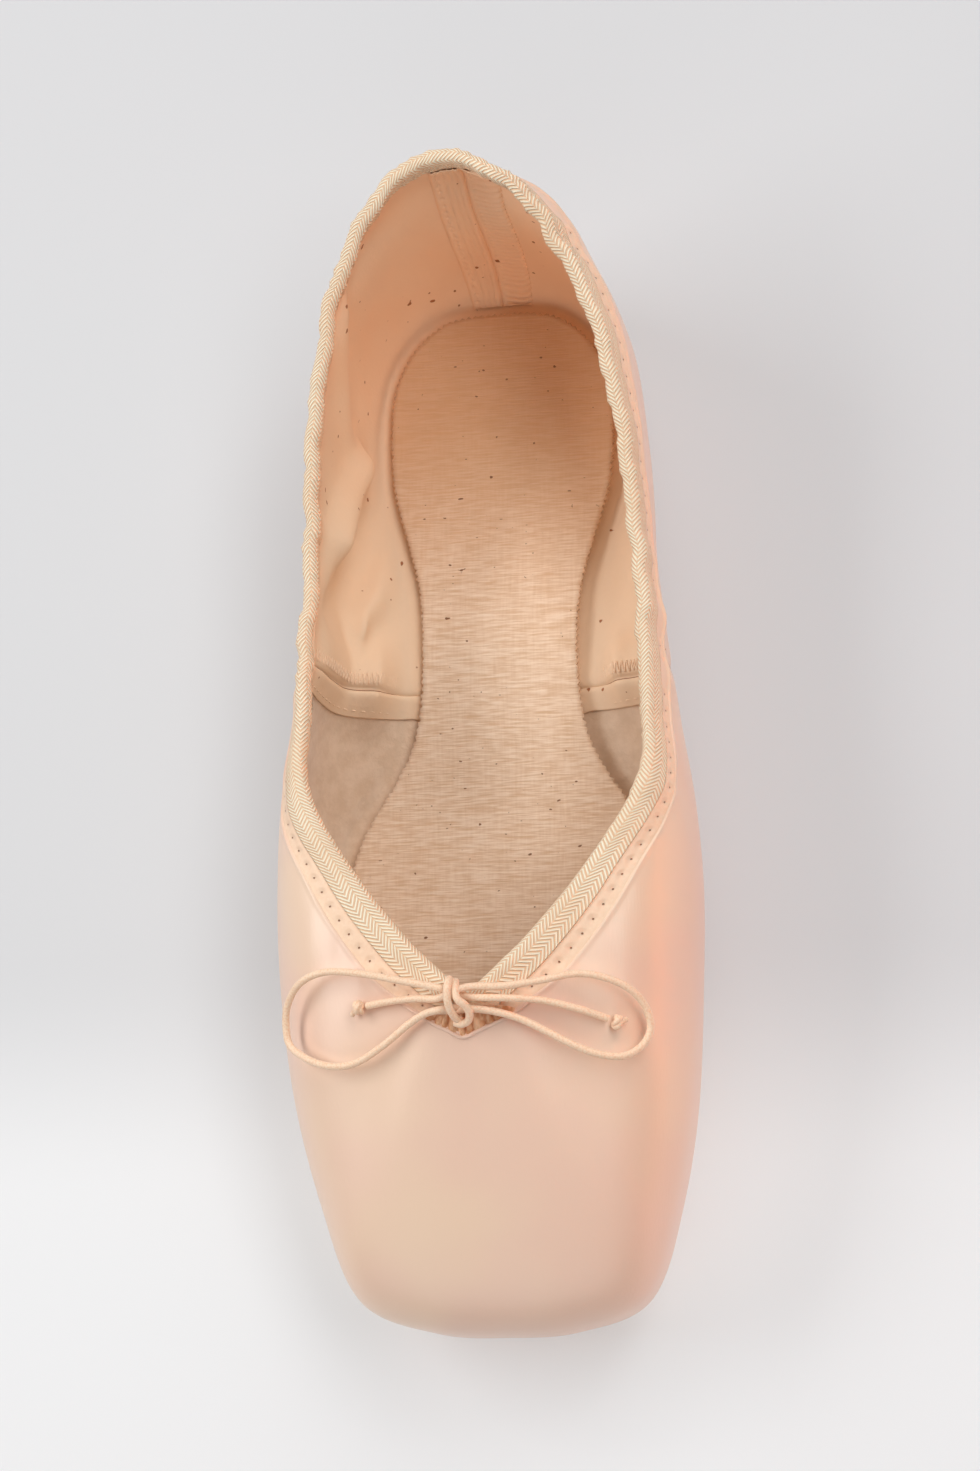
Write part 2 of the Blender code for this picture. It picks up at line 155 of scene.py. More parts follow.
# Routes of the drawstring's bow over the vamp, as in the part's source
LOOP_LEFT = (
    (-0.0048, -0.0552, 0.0555),
    (-0.0115, -0.0536, 0.0544),
    (-0.0210, -0.0514, 0.0528),
    (-0.0285, -0.0506, 0.0512),
    (-0.0340, -0.0522, 0.0488),
    (-0.0373, -0.0560, 0.0454),
    (-0.0380, -0.0603, 0.0434),
    (-0.0370, -0.0640, 0.0432),
    (-0.0325, -0.0672, 0.0456),
    (-0.0275, -0.0688, 0.0472),
    (-0.0225, -0.0684, 0.0484),
    (-0.0170, -0.0655, 0.0498),
    (-0.0115, -0.0616, 0.0513),
    (-0.0080, -0.0599, 0.0528),
    (-0.0048, -0.0593, 0.0540),
)
LOOP_RIGHT = (
    (0.0018, -0.0552, 0.0556),
    (0.0080, -0.0552, 0.0552),
    (0.0153, -0.0542, 0.0544),
    (0.0215, -0.0529, 0.0531),
    (0.0265, -0.0533, 0.0520),
    (0.0317, -0.0553, 0.0500),
    (0.0348, -0.0586, 0.0476),
    (0.0357, -0.0627, 0.0460),
    (0.0340, -0.0662, 0.0462),
    (0.0305, -0.0683, 0.0472),
    (0.0258, -0.0680, 0.0486),
    (0.0209, -0.0662, 0.0497),
    (0.0159, -0.0636, 0.0506),
    (0.0112, -0.0613, 0.0516),
    (0.0065, -0.0599, 0.0530),
    (0.0018, -0.0593, 0.0540),
)
END_LEFT = (
    (-0.0051, -0.0572, 0.0546),
    (-0.0100, -0.0568, 0.0532),
    (-0.0155, -0.0569, 0.0512),
    (-0.0201, -0.0574, 0.0500),
)
END_RIGHT = (
    (0.0021, -0.0572, 0.0548),
    (0.0080, -0.0574, 0.0543),
    (0.0149, -0.0577, 0.0524),
    (0.0220, -0.0593, 0.0503),
    (0.0276, -0.0610, 0.0479),
)
BOW_KNOT = (-0.0015, -0.0572, 0.0553)
END_KNOT_LEFT = (-0.0218, -0.0577, 0.0499)
END_KNOT_RIGHT = (0.0293, -0.0616, 0.0473)
# Where each string leaves the casing under the knot, and where it passes through the knot
EXIT_LEFT = ((0.0066, -0.0583, 0.0512), (0.0030, -0.0585, 0.0520), (-0.0012, -0.0588, 0.0533))
EXIT_RIGHT = ((-0.0062, -0.0591, 0.0516), (-0.0040, -0.0592, 0.0523), (-0.0012, -0.0593, 0.0530))
THROUGH_LEFT = ((-0.0015, -0.0562, 0.0546),)
THROUGH_RIGHT = ((-0.0015, -0.0562, 0.0565),)


def smooth(share: Any) -> Any:
    """0 to 1 with no slope at either end."""
    share = np.clip(share, 0.0, 1.0)
    return share * share * (3.0 - 2.0 * share)


def bump_shape(share: Any) -> Any:
    """1 at 0, falling smoothly to 0 at -1 and 1."""
    return 1.0 - smooth(np.abs(share))


def bell(share: Any) -> Any:
    """1 at 0, falling in a bell's shape through 1/e at -1 and 1."""
    return np.exp(-(share**2))


def along_to_y(along: float) -> float:
    """Y of a share of the length from the heel's back."""
    return LENGTH * (0.5 - along)


def floor_lift(y: Any) -> Any:
    """Height of the sole's underside above the floor at y."""
    along = 0.5 - y / LENGTH
    rise = smooth((along - SEAT_END) / (ARCH_TOP - SEAT_END))
    fall = smooth((BALL_START - along) / (BALL_START - ARCH_TOP))
    spring = np.clip((along - SPRING_START) / (1.0 - SPRING_START), 0.0, None) ** 2
    return ARCH_LIFT * np.minimum(rise, fall) + TOE_SPRING * spring


def toe_swing(y: Any) -> Any:
    """How far the toe stands over to +X at y, as the box was lasted."""
    along = 0.5 - y / LENGTH
    return TOE_SWING * smooth((along - SWING_START) / (1.0 - SWING_START))


def unit(vectors: Array) -> Array:
    """The vectors at length 1."""
    return vectors / np.maximum(np.linalg.norm(vectors, axis=-1, keepdims=True), 1e-12)


def spline_between(before: Array, here: Array, after: Array, later: Array, t: Any) -> Array:
    """Smooth values from here to after as t goes from 0 to 1, given the values on either side."""
    return 0.5 * (
        2.0 * here
        + (after - before) * t
        + (2.0 * before - 5.0 * here + 4.0 * after - later) * t**2
        + (3.0 * here - before - 3.0 * after + later) * t**3
    )


def round_the_shoe(values: list[float], sign: int) -> Array:
    """Half of the shoe's guide values made a smooth closed loop of columns.

    Args:
        values: One value for each guide, from the heel's back to the platform.
        sign: -1 for a value that changes side with X, and 1 for one that doesn't.

    Returns:
        One value for each column round the shoe.
    """
    half = np.array(values, float)
    loop = np.concatenate([half, sign * half[-2:0:-1]])
    before, after, later = np.roll(loop, 1), np.roll(loop, -1), np.roll(loop, -2)
    steps = np.arange(COLUMNS_PER_GUIDE) / COLUMNS_PER_GUIDE
    found = [spline_between(before, loop, after, later, t) for t in steps]
    return np.stack(found, axis=1).ravel()


def run_lengths(points: Array) -> Array:
    """Length run from the first point to each point of a line."""
    return np.concatenate([[0.0], np.cumsum(np.linalg.norm(np.diff(points, axis=0), axis=1))])


def run_round(points: Array) -> Array:
    """Length run round a closed line to each point, and last to the first point again."""
    return run_lengths(np.concatenate([points, points[:1]]))


def along_line(wanted: Any, run: Array, line: Array) -> Array:
    """Values of a line at the wanted lengths along it, given the length run to each of its points."""
    return np.stack([np.interp(wanted, run, values) for values in line.T], axis=-1)


def even_loop(loop: Array, count: int) -> Array:
    """A closed line drawn again with count points at even lengths."""
    run = run_round(loop)
    wanted = np.linspace(0.0, run[-1], count, endpoint=False)
    return along_line(wanted, run, np.concatenate([loop, loop[:1]]))


def smooth_route(route: Any, step: float) -> Array:
    """Even points, about a step apart, of one smooth curve through a route's points."""
    laid = np.array(route)
    ends = (2.0 * laid[:1] - laid[1:2], laid, 2.0 * laid[-1:] - laid[-2:-1])
    joined = np.concatenate(ends)
    four = [joined[k : len(laid) - 1 + k][:, None, :] for k in range(4)]
    t = np.linspace(0.0, 1.0, ROUTE_STEPS, endpoint=False)[None, :, None]
    dense = np.concatenate([spline_between(*four, t).reshape(-1, 3), laid[-1:]])
    run = run_lengths(dense)
    wanted = np.linspace(0.0, run[-1], max(2, round(run[-1] / step)) + 1)
    return along_line(wanted, run, dense)


class Last:
    """The last: the upper's outer face as dense columns from the collar down and underneath.

    Attributes:
        heel_rise: How far the top edge at the heel's back stands above its guide.
        heel_reach: How far to either side of the back that rise goes, in guides.
        vamp_half: How far to either side of the toe's middle the vamp goes, in guides.
        vamp_down: How far down from the collar the vamp is searched for places.
        vamp_rows: How many rows that search has.
        points: Array of columns, steps and XYZ, from the collar to the opening underneath.
        normals: The outward normals at the points.
        run: Distance from the collar to each point along its column.
        around: How far round the shoe each column is, in guides from the heel's back.
        from_back: How far each column is from the heel's back, the shorter way round.
        collar_run: Length along the collar to each column.
    """

    heel_rise = 2.6 * MM
    heel_reach = 2.2
    vamp_half = 5.0
    vamp_down = 24 * MM
    vamp_rows = 97

    def __init__(self) -> None:
        """Works the dense columns out from the guide table."""
        wide_plan = self.plan("side", "along")
        insole_plan = self.plan("insole_side", "insole_along")
        opening = self.lifted(self.inset(self.sole_plan(), LASTING_MARGIN), SEAT_Z)
        flat = self.lifted(self.inset(insole_plan, -INSOLE_MARGIN), SEAT_Z)
        foot = self.lifted(wide_plan, SEAT_Z)
        wide = self.placed(wide_plan, self.height("wide"))
        shoulder = self.placed(wide_plan, self.height("shoulder"))
        collar = self.placed(self.plan("collar_side", "collar_along"), self.height("collar_up"))
        top = self.bend(wide, shoulder, collar, round_the_shoe([g.square_top for g in GUIDES], 1))
        low = self.bend(flat, foot, wide, round_the_shoe([g.square_foot for g in GUIDES], 1))
        share = np.linspace(1.0, 0.0, MARGIN_STEPS, endpoint=False)[::-1][None, :, None]
        under = flat[:, None, :] + (opening - flat)[:, None, :] * share
        self.points = np.concatenate([top[:, ::-1], low[:, -2::-1], under], axis=1)
        self.around = np.arange(len(self.points)) / COLUMNS_PER_GUIDE
        self.from_back = np.minimum(self.around, GUIDES_ROUND - self.around)
        above = np.maximum(self.points[:, :, 2] - 0.5 * HEEL_HEIGHT, 0.0) / (0.5 * HEEL_HEIGHT)
        near = bump_shape(self.from_back / self.heel_reach)[:, None]
        self.points[:, :, 2] += self.heel_rise * near * above**2
        self.normals = self.grid_normals(self.points)
        long = np.linalg.norm(np.diff(self.points, axis=1), axis=2)
        self.run = np.concatenate([np.zeros((len(long), 1)), np.cumsum(long, axis=1)], axis=1)
        self.collar_run = run_round(self.points[:, 0])
        self.wide_run = self.run[:, BEND_STEPS]
        self.flat_run = self.run[:, 2 * BEND_STEPS]
        self.opening_run = self.run[:, -1]

    @staticmethod
    def plan(side_name: str, along_name: str) -> Array:
        """Closed outline in plan, an (n, 2) array, from two of the table's columns."""
        x = round_the_shoe([getattr(g, side_name) * g.width / 2 for g in GUIDES], -1)
        y = round_the_shoe([along_to_y(getattr(g, along_name)) for g in GUIDES], 1)
        return np.stack([x, y], axis=1)

    @classmethod
    def sole_plan(cls) -> Array:
        """The outsole's outline in plan."""
        return cls.plan("sole_side", "sole_along")

    @staticmethod
    def height(name: str) -> Array:
        """Closed loop of heights from one of the table's columns."""
        return round_the_shoe([getattr(g, name) * g.height for g in GUIDES], 1)

    @staticmethod
    def inset(loop: Array, distance: Any) -> Array:
        """The loop moved inwards. It runs from the heel by +X to the toe."""
        run = np.roll(loop, -1, axis=0) - np.roll(loop, 1, axis=0)
        inward = unit(np.stack([run[:, 1], -run[:, 0]], axis=1))
        return loop + np.reshape(distance, (-1, 1)) * inward

    @staticmethod
    def placed(loop: Array, z: Any) -> Array:
        """The plan loop at heights z, as 3D points with the toe's swing."""
        x, y = loop.T
        return np.column_stack([x + toe_swing(y), y, np.broadcast_to(z, x.shape)])

    @classmethod
    def lifted(cls, loop: Array, z: Any) -> Array:
        """The plan loop at height z above the sole's underside, as 3D points."""
        return cls.placed(loop, z + floor_lift(loop[:, 1]))

    @staticmethod
    def bend(start: Array, corner: Array, end: Array, square: Array) -> Array:
        """Dense points of each column's bend from start past corner to end.

        Args:
            start: Where each column's bend starts.
            corner: The corner that each bend rounds.
            end: Where each bend ends.
            square: How boxy each bend is; 2 is an ellipse.

        Returns:
            Array of columns, steps and XYZ.
        """
        angle = np.linspace(0.0, math.pi / 2, BEND_STEPS + 1)[None, :]
        power = square[:, None]
        reach = (np.cos(angle) ** power + np.sin(angle) ** power) ** (-1.0 / power)
        leave, arrive = 1.0 - np.sin(angle) * reach, 1.0 - np.cos(angle) * reach
        return (
            corner[:, None, :]
            + leave[:, :, None] * (start - corner)[:, None, :]
            + arrive[:, :, None] * (end - corner)[:, None, :]
        )

    @staticmethod
    def grid_normals(grid: Array) -> Array:
        """Outward unit normals of a grid of columns that closes on itself."""
        across = np.roll(grid, -1, axis=0) - np.roll(grid, 1, axis=0)
        down = np.gradient(grid, axis=1)
        return unit(np.cross(across, down))

    def at(self, down: Array) -> tuple[Array, Array]:
        """Points and normals at distances down from the collar.

        Args:
            down: Array of columns and rows of distances from the collar.

        Returns:
            The points and the unit normals, each an array of columns, rows and XYZ.
        """
        found, facing = (
            np.stack([along_line(wanted, run, line) for wanted, run, line in zip(down, self.run, grid)])
            for grid in (self.points, self.normals)
        )
        return found, unit(facing)

    @staticmethod
    def rows(first: Array, last: Array, count: int) -> Array:
        """count + 1 even distances down each column, from first to last."""
        share = np.linspace(0.0, 1.0, count + 1)[None, :]
        return first[:, None] + (last - first)[:, None] * share

    def casing_width(self) -> Array:
        """Width of the casing's outer side at each column, with its point at the throat."""
        places = [edge.around for edge in CASING_EDGE]
        return np.interp(self.around, places, [edge.width * MM for edge in CASING_EDGE])

    def lay_on_vamp(self, plan: Array, height: Any) -> Array:
        """Points over the vamp at plan places, standing off its face by a height."""
        near = np.abs(self.around - TOE) < self.vamp_half
        down = np.tile(np.linspace(0.0, self.vamp_down, self.vamp_rows), (len(self.around), 1))
        points, normals = (found[near].reshape(-1, 3) for found in self.at(down))
        laid = np.empty((*plan.shape[:-1], 3))
        height = np.broadcast_to(height, plan.shape[:-1])
        for place in np.ndindex(plan.shape[:-1]):
            x, y = plan[place]
            k = int(np.argmin((points[:, 0] - x) ** 2 + (points[:, 1] - y) ** 2))
            n = normals[k]
            z = points[k, 2] - (n[0] * (x - points[k, 0]) + n[1] * (y - points[k, 1])) / n[2]
            laid[place] = np.array([x, y, z]) + n * height[place]
        return laid

    @staticmethod
    def wall(grid: Array) -> Array:
        """Thickness of the wall at points of the upper, thicker round the box."""
        along = 0.5 - grid[..., 1] / LENGTH
        return QUARTER_WALL + (BOX_WALL - QUARTER_WALL) * smooth(
            (along - BOX_START) / (BOX_FULL - BOX_START)
        )


class Fold(NamedTuple):
    """A soft trough or ridge that was placed on the upper.

    around and down are its two ends, in guides from the heel's back and in mm from the collar.
    width is half of its breadth and height is how far it stands out, both in mm.
    """

    name: str
    around: float
    down: float
    around_end: float
    down_end: float
    width: float
    height: float


# The heel and the quarters pucker where the drawstring pulls them; the vamp is nearly smooth
SATIN_FOLDS = (
    Fold("back seam drag", 0.55, 12.0, 0.25, 34.0, 5.0, -0.45),
    Fold("back seam swell", 23.35, 10.0, 23.7, 30.0, 6.0, 0.40),
    Fold("heel swell by +X", 1.15, 9.0, 1.45, 26.0, 6.0, 0.50),
    Fold("heel trough by +X", 1.75, 9.0, 2.05, 30.0, 5.0, -0.45),
    Fold("heel swell by -X", 22.6, 9.0, 22.3, 24.0, 5.0, 0.45),
    Fold("heel trough by -X", 21.9, 10.0, 21.7, 28.0, 5.0, -0.40),
    Fold("quarter pull by +X", 3.2, 9.0, 3.8, 24.0, 5.0, -0.40),
    Fold("quarter pull by -X", 20.8, 9.0, 20.2, 24.0, 5.0, -0.40),
    Fold("seam pucker over", 4.42, 8.5, 4.30, 17.0, 3.4, 0.75),
    Fold("seam pucker under", 4.86, 8.5, 4.96, 18.0, 3.2, 0.55),
    Fold("seam hollow", 4.66, 12.0, 4.66, 24.0, 3.0, -0.50),
    Fold("other seam pucker over", 19.58, 8.5, 19.70, 16.0, 3.2, 0.60),
    Fold("other seam pucker under", 19.12, 8.5, 19.00, 18.0, 3.2, 0.50),
    Fold("other seam hollow", 19.34, 12.0, 19.34, 24.0, 3.0, -0.45),
    Fold("wing drag by +X", 5.9, 10.0, 6.5, 26.0, 4.0, -0.30),
    Fold("wing drag by -X", 18.1, 10.0, 17.5, 26.0, 4.0, -0.30),
    Fold("throat wrinkle 1", 16.10, 9.8, 15.55, 16.0, 1.5, 0.16),
    Fold("throat wrinkle 2", 16.45, 9.8, 16.00, 18.0, 1.6, -0.16),
    Fold("throat wrinkle 3", 16.85, 9.8, 16.50, 17.0, 1.6, 0.16),
    Fold("throat wrinkle 4", 7.85, 9.8, 8.40, 17.0, 1.6, 0.15),
    Fold("throat wrinkle 5", 7.40, 9.8, 7.85, 18.0, 1.6, -0.15),
    Fold("throat wrinkle 6", 7.00, 9.8, 7.30, 16.0, 1.5, 0.14),
    Fold("box plane by -X", 14.6, 20.0, 13.6, 60.0, 9.0, -0.25),
    Fold("box plane by +X", 9.4, 20.0, 10.4, 60.0, 9.0, -0.25),
)


class Pull(NamedTuple):
    """How the drawstring has pulled the collar at one place round it.

    around is in guides from the heel's back, inward is how far the collar is drawn in, and swell
    is how far the satin puffs out below it, both in mm.
    """

    around: float
    inward: float
    swell: float


class EdgePlace(NamedTuple):
    """How wide the casing's outer side is at one place round the collar, in guides and mm."""

    around: float
    width: float


# The casing narrows to a sharp point under the knot, and is widest on either side of it
CASING_EDGE = (
    EdgePlace(0.0, 8.5),
    EdgePlace(6.5, 8.5),
    EdgePlace(8.0, 9.1),
    EdgePlace(9.0, 8.0),
    EdgePlace(10.0, 7.25),
    EdgePlace(11.0, 6.75),
    EdgePlace(12.0, 7.6),
    EdgePlace(13.0, 7.05),
    EdgePlace(14.0, 7.35),
    EdgePlace(15.0, 8.2),
    EdgePlace(16.0, 9.2),
    EdgePlace(17.5, 8.5),
    EdgePlace(24.0, 8.5),
)
# The heel's back and its +X side are drawn in most, as the shoe in the photograph stands
COLLAR_PULLS = (
    Pull(0.0, 1.8, 3.2),
    Pull(0.4, 3.4, 3.8),
    Pull(1.0, 4.4, 2.6),
    Pull(1.6, 4.6, 1.8),
    Pull(2.0, 4.3, 1.8),
    Pull(3.0, 2.6, 1.6),
    Pull(4.0, 1.2, 1.0),
    Pull(5.0, 0.3, 0.3),
    Pull(6.0, 0.0, 0.0),
    Pull(18.0, 0.0, 0.0),
    Pull(19.5, 0.2, 0.4),
    Pull(21.0, 0.4, 0.6),
    Pull(22.0, 0.5, 0.8),
    Pull(23.0, 0.6, 1.4),
    Pull(23.6, 0.6, 1.8),
    Pull(24.0, 1.8, 3.2),
)
LINING_FOLDS = (
    Fold("side ridge over the valley", 21.1, 34.0, 20.05, 8.0, 4.2, 4.20),
    Fold("same ridge's crest", 20.35, 14.0, 20.85, 26.0, 3.8, 3.00),
    Fold("side valley", 20.80, 46.0, 19.85, 13.0, 3.4, -3.60),
    Fold("ridge under the valley", 19.85, 30.0, 20.35, 45.0, 4.2, 4.60),
    Fold("lining off the wall at the seam", 19.42, 37.0, 19.50, 15.0, 9.0, 7.40),
    Fold("heel side ridge", 21.9, 8.0, 20.9, 34.0, 4.6, 2.60),
    Fold("heel side valley", 22.1, 12.0, 21.6, 34.0, 3.6, -1.20),
    Fold("side fold 6", 3.2, 6.0, 4.1, 34.0, 4.2, 3.40),
    Fold("side fold 7", 3.9, 8.0, 4.35, 32.0, 3.4, -1.10),
    Fold("side fold 8", 2.4, 8.0, 2.9, 34.0, 4.6, 1.10),
    Fold("lining off the wall at the other seam", 4.58, 37.0, 4.50, 15.0, 8.5, 6.20),
    Fold("heel fold 1", 0.9, 10.0, 1.0, 32.0, 4.0, 0.35),
    Fold("heel fold 2", 23.0, 12.0, 22.9, 34.0, 4.4, -0.35),
    Fold("vamp fold 1", 5.4, 12.0, 5.1, 36.0, 4.0, 0.50),
    Fold("vamp fold 2", 18.5, 10.0, 18.9, 36.0, 5.0, 0.45),
)


@dataclass
class Drape:
    """How far the cloth of the upper stands off its last: gathers, folds, seams and pleats.

    Places along the shoe are shares of LENGTH from the heel's back, and places round it are in
    guides. The other lengths are in metres.
    """

    last: Last
    gather_seed: int = 5
    gather_pitch: float = 5.4 * MM
    gather_height: float = 1.30 * MM
    gather_jitter: float = 0.33
    gather_widths: tuple[float, float] = (0.40, 0.75)
    gather_heights: tuple[float, float] = (-0.35, 1.0)
    gather_middle: float = 0.35
    calm_side: float = 0.65
    gather_reach: float = 15 * MM
    pull_reach: float = 15 * MM
    least_pull: float = 0.10
    slack_from: float = 5.2
    slack_over: float = 2.2
    swell_down: float = 9.5 * MM
    swell_width: float = 6.5 * MM
    fold_taper: float = 0.6
    seam_along: float = 0.425
    seam_groove: float = 0.40 * MM
    seam_width: float = 1.3 * MM
    heel_zone: float = 0.12
    welt_share: float = 0.30
    welt_away: float = 2.0 * MM
    welt_width: float = 1.2 * MM
    pleats: int = 13
    pleats_over: float = 4.4
    pleat_height: float = 0.55 * MM
    pleat_zone: float = 2.4
    pleat_fade: float = 1.2
    pleat_under: float = 0.45
    pleat_drift: float = 0.35
    pleat_edge: float = 0.8

    def __post_init__(self) -> None:
        """Draws the puckers that the drawstring makes along the collar."""
        draw = np.random.default_rng(self.gather_seed)
        length = self.last.collar_run[-1]
        count = int(round(length / self.gather_pitch))
        jitter = draw.uniform(-self.gather_jitter, self.gather_jitter, count)
        middles = (np.arange(count) + jitter) * length / count
        widths = self.gather_pitch * draw.uniform(*self.gather_widths, count)
        heights = draw.uniform(*self.gather_heights, count)
        s = self.last.collar_run[:-1]
        ripple = np.zeros_like(s)
        for middle, width, height in zip(middles, widths, heights):
            off = (s - middle + length / 2) % length - length / 2
            ripple += height * bell(off / width)
        side = np.where(self.last.around < GUIDES_ROUND / 2, 1.0, self.calm_side)
        self.ripple = (ripple - self.gather_middle) * self.gather_height * self.pull() * side

    def pull(self) -> Array:
        """How strongly the drawstring gathers the collar at each column: least at the throat."""
        slack = 1.0 - smooth((self.last.from_back - self.slack_from) / self.slack_over)
        return self.least_pull + (1.0 - self.least_pull) * slack

    def gathers(self, down: Array) -> Array:
        """Stand-off of every layer at distances down: the collar's pull and its gathers."""
        places = [pull.around for pull in COLLAR_PULLS]
        inward = np.interp(self.last.around, places, [pull.inward for pull in COLLAR_PULLS])
        swell = np.interp(self.last.around, places, [pull.swell for pull in COLLAR_PULLS])
        drawn = -inward[:, None] * MM * bell(down / self.pull_reach)
        below = bell((down - self.swell_down) / self.swell_width)
        fade = 1.0 - smooth(down / self.gather_reach)
        return drawn + swell[:, None] * MM * below + self.ripple[:, None] * fade

    def folds(self, down: Array, table: tuple[Fold, ...]) -> Array:
        """Stand-off of a table of folds at distances down from the collar."""
        guides = np.arange(GUIDES_ROUND + 1)
        runs = run_round(self.last.points[:, BEND_STEPS])[::COLUMNS_PER_GUIDE]
        along = np.interp(self.last.around, guides, runs)
        length = runs[-1]
        found = np.zeros_like(down)
        for fold in table:
            start = np.array([np.interp(fold.around, guides, runs), fold.down * MM])
            end = np.array([np.interp(fold.around_end, guides, runs), fold.down_end * MM])
            run = end - start
            off = (along - start[0] + length / 2) % length - length / 2
            share = (off[:, None] * run[0] + (down - start[1]) * run[1]) / (run @ run)
            held = np.clip(share, 0.0, 1.0)
            apart = np.hypot(off[:, None] - held * run[0], down - start[1] - held * run[1])
            taper = 1.0 - self.fold_taper * held
            found += fold.height * MM * taper * bell(apart / (fold.width * MM))
        return found

    def seams(self, grid: Array) -> Array:
        """Grooves of the two side seams and of the back seam in the satin, with welts beside them."""
        side = grid[..., 1] - along_to_y(self.seam_along)
        back = np.where(grid[..., 1] > along_to_y(self.heel_zone), grid[..., 0], 1.0)
        grooves = welts = 0.0
        for away in (side, back):
            grooves = grooves - self.seam_groove * bell(away / self.seam_width)
            beside = bell((np.abs(away) - self.welt_away) / self.welt_width)
            welts = welts + self.welt_share * self.seam_groove * beside
        return grooves + welts

    def toe_pleats(self, down: Array) -> Array:
        """Pleats where the satin is drawn together under the toe, fanning out from the sole."""
        last = self.last
        away = (last.around - TOE)[:, None]
        under = smooth((down - last.wide_run[:, None]) / (last.flat_run - last.wide_run)[:, None])
        near = 1.0 - smooth((np.abs(away) - self.pleat_zone) / self.pleat_fade)
        uneven = self.pleat_drift * np.sin(3.1 * away)
        wave = np.cos(away * math.pi * self.pleats / self.pleats_over + uneven)
        ridge = np.abs(wave) ** self.pleat_edge * np.sign(wave)
        return self.pleat_height * ridge * near * smooth((under - self.pleat_under) / self.pleat_under)


def add_object(name: str, data: Any) -> bpy.types.Object:
    """An object in the scene that shows the data."""
    made = bpy.data.objects.new(name, data)
    bpy.context.scene.collection.objects.link(made)
    return made


def add_mesh(name: str, points: Any, faces: Any, material: Material) -> bpy.types.Object:
    """A smooth mesh object in the scene from points and faces."""
    mesh = bpy.data.meshes.new(name)
    mesh.from_pydata([tuple(p) for p in np.asarray(points, float).tolist()], [], faces)
    mesh.materials.append(material)
    mesh.shade_smooth()
    return add_object(name, mesh)


def lay_uv(made: bpy.types.Object, across: Array, along: Array) -> None:
    """Gives each corner of each face its place in metres on the cloth.

    Args:
        made: The mesh object.
        across: One value for each corner, written as U.
        along: One value for each corner, written as V.
    """
    layer = made.data.uv_layers.new(name=CLOTH_MAP)
    layer.data.foreach_set("uv", np.stack([across, along], axis=1).astype(np.float32).ravel())


def grid_faces(columns: int, rows: int, closed: bool) -> list[tuple[int, int, int, int]]:
    """Quads of a grid of columns and rows whose faces look outwards, closed on itself or not."""
    return [
        (
            j * rows + i,
            (j + 1) % columns * rows + i,
            (j + 1) % columns * rows + i + 1,
            j * rows + i + 1,
        )
        for j in range(columns if closed else columns - 1)
        for i in range(rows - 1)
    ]


def thicken(made: bpy.types.Object, thickness: float) -> None:
    """Gives a sheet its thickness, laid on the side against its normals."""
    solid = made.modifiers.new("cloth thickness", "SOLIDIFY")
    solid.thickness = thickness
    solid.offset = -1.0
    solid.use_even_offset = False


def loft(name: str, grid: Array, material: Material, thickness: float, closed: bool = True,
         cloth: tuple[Array, Array] | None = None) -> bpy.types.Object:
    """A sheet of cloth from a grid of columns.

    Args:
        name: The piece's name.
        grid: Array of columns, rows and XYZ.
        material: The sheet's finish.
        thickness: The cloth's thickness, laid against the sheet's normals.
        closed: Whether the last column joins the first.
        cloth: Length along the sheet at each column and one more, and distance across at each
            row, for the pattern's coordinates.

    Returns:
        The new object.
    """
    columns, rows = grid.shape[:2]
    made = add_mesh(name, grid.reshape(-1, 3), grid_faces(columns, rows, closed), material)
    if cloth is not None:
        along, across = cloth
        first = np.arange(columns if closed else columns - 1)
        u = np.stack([along[first], along[first + 1], along[first + 1], along[first]], axis=1)
        v = np.stack([across[:-1], across[:-1], across[1:], across[1:]], axis=1)
        spread = np.ones((len(first), rows - 1, 1))
        lay_uv(made, (u[:, None, :] * spread).ravel(), (v[None, :, :] * spread).ravel())
    thicken(made, thickness)
    return made


def sweep(path: Array, radius: Any, sides: int, closed: bool = False) -> Shape:
    """A round tube along a path.

    Args:
        path: The tube's middle line.
        radius: Its radius, or one for each point of the path.
        sides: How many sides the tube has.
        closed: Whether the path closes on itself.

    Returns:
        The points and the faces, with an end cap at each end of an open tube.
    """
    count = len(path)
    if closed:
        run = np.roll(path, -1, axis=0) - np.roll(path, 1, axis=0)
    else:
        run = np.gradient(path, axis=0)
    run = unit(run)
    normal = unit(np.cross(run[0], OFF_AXIS))
    normals = [normal]
    for tangent in run[1:]:
        normal = unit(normal - tangent * (normal @ tangent))
        normals.append(normal)
    normals = np.array(normals)
    twist = 0.0
    if closed:
        turned = unit(normals[-1] - run[0] * (normals[-1] @ run[0]))
        side = np.cross(run[0], normals[0])
        twist = math.atan2(turned @ side, turned @ normals[0])
    radii = np.broadcast_to(radius, (count,))
    points = []
    for k in range(count):
        angles = np.linspace(0.0, 2 * math.pi, sides, endpoint=False) - twist * k / count
        side = np.cross(run[k], normals[k])
        ring = np.cos(angles)[:, None] * normals[k] + np.sin(angles)[:, None] * side
        points.append(path[k] + radii[k] * ring)
    faces: list[tuple[int, ...]] = []
    for k in range(count if closed else count - 1):
        after = (k + 1) % count
        for i in range(sides):
            j = (i + 1) % sides
            faces.append((k * sides + i, k * sides + j, after * sides + j, after * sides + i))
    if not closed:
        faces.append(tuple(range(sides - 1, -1, -1)))
        faces.append(tuple((count - 1) * sides + i for i in range(sides)))
    return np.concatenate(points), faces


def join_shapes(shapes: list[Shape]) -> Shape:
    """Several shapes' points and faces as one."""
    points, faces, start = [], [], 0
    for laid, corners in shapes:
        points.append(laid)
        faces += [tuple(c + start for c in face) for face in corners]
        start += len(laid)
    return np.concatenate(points), faces


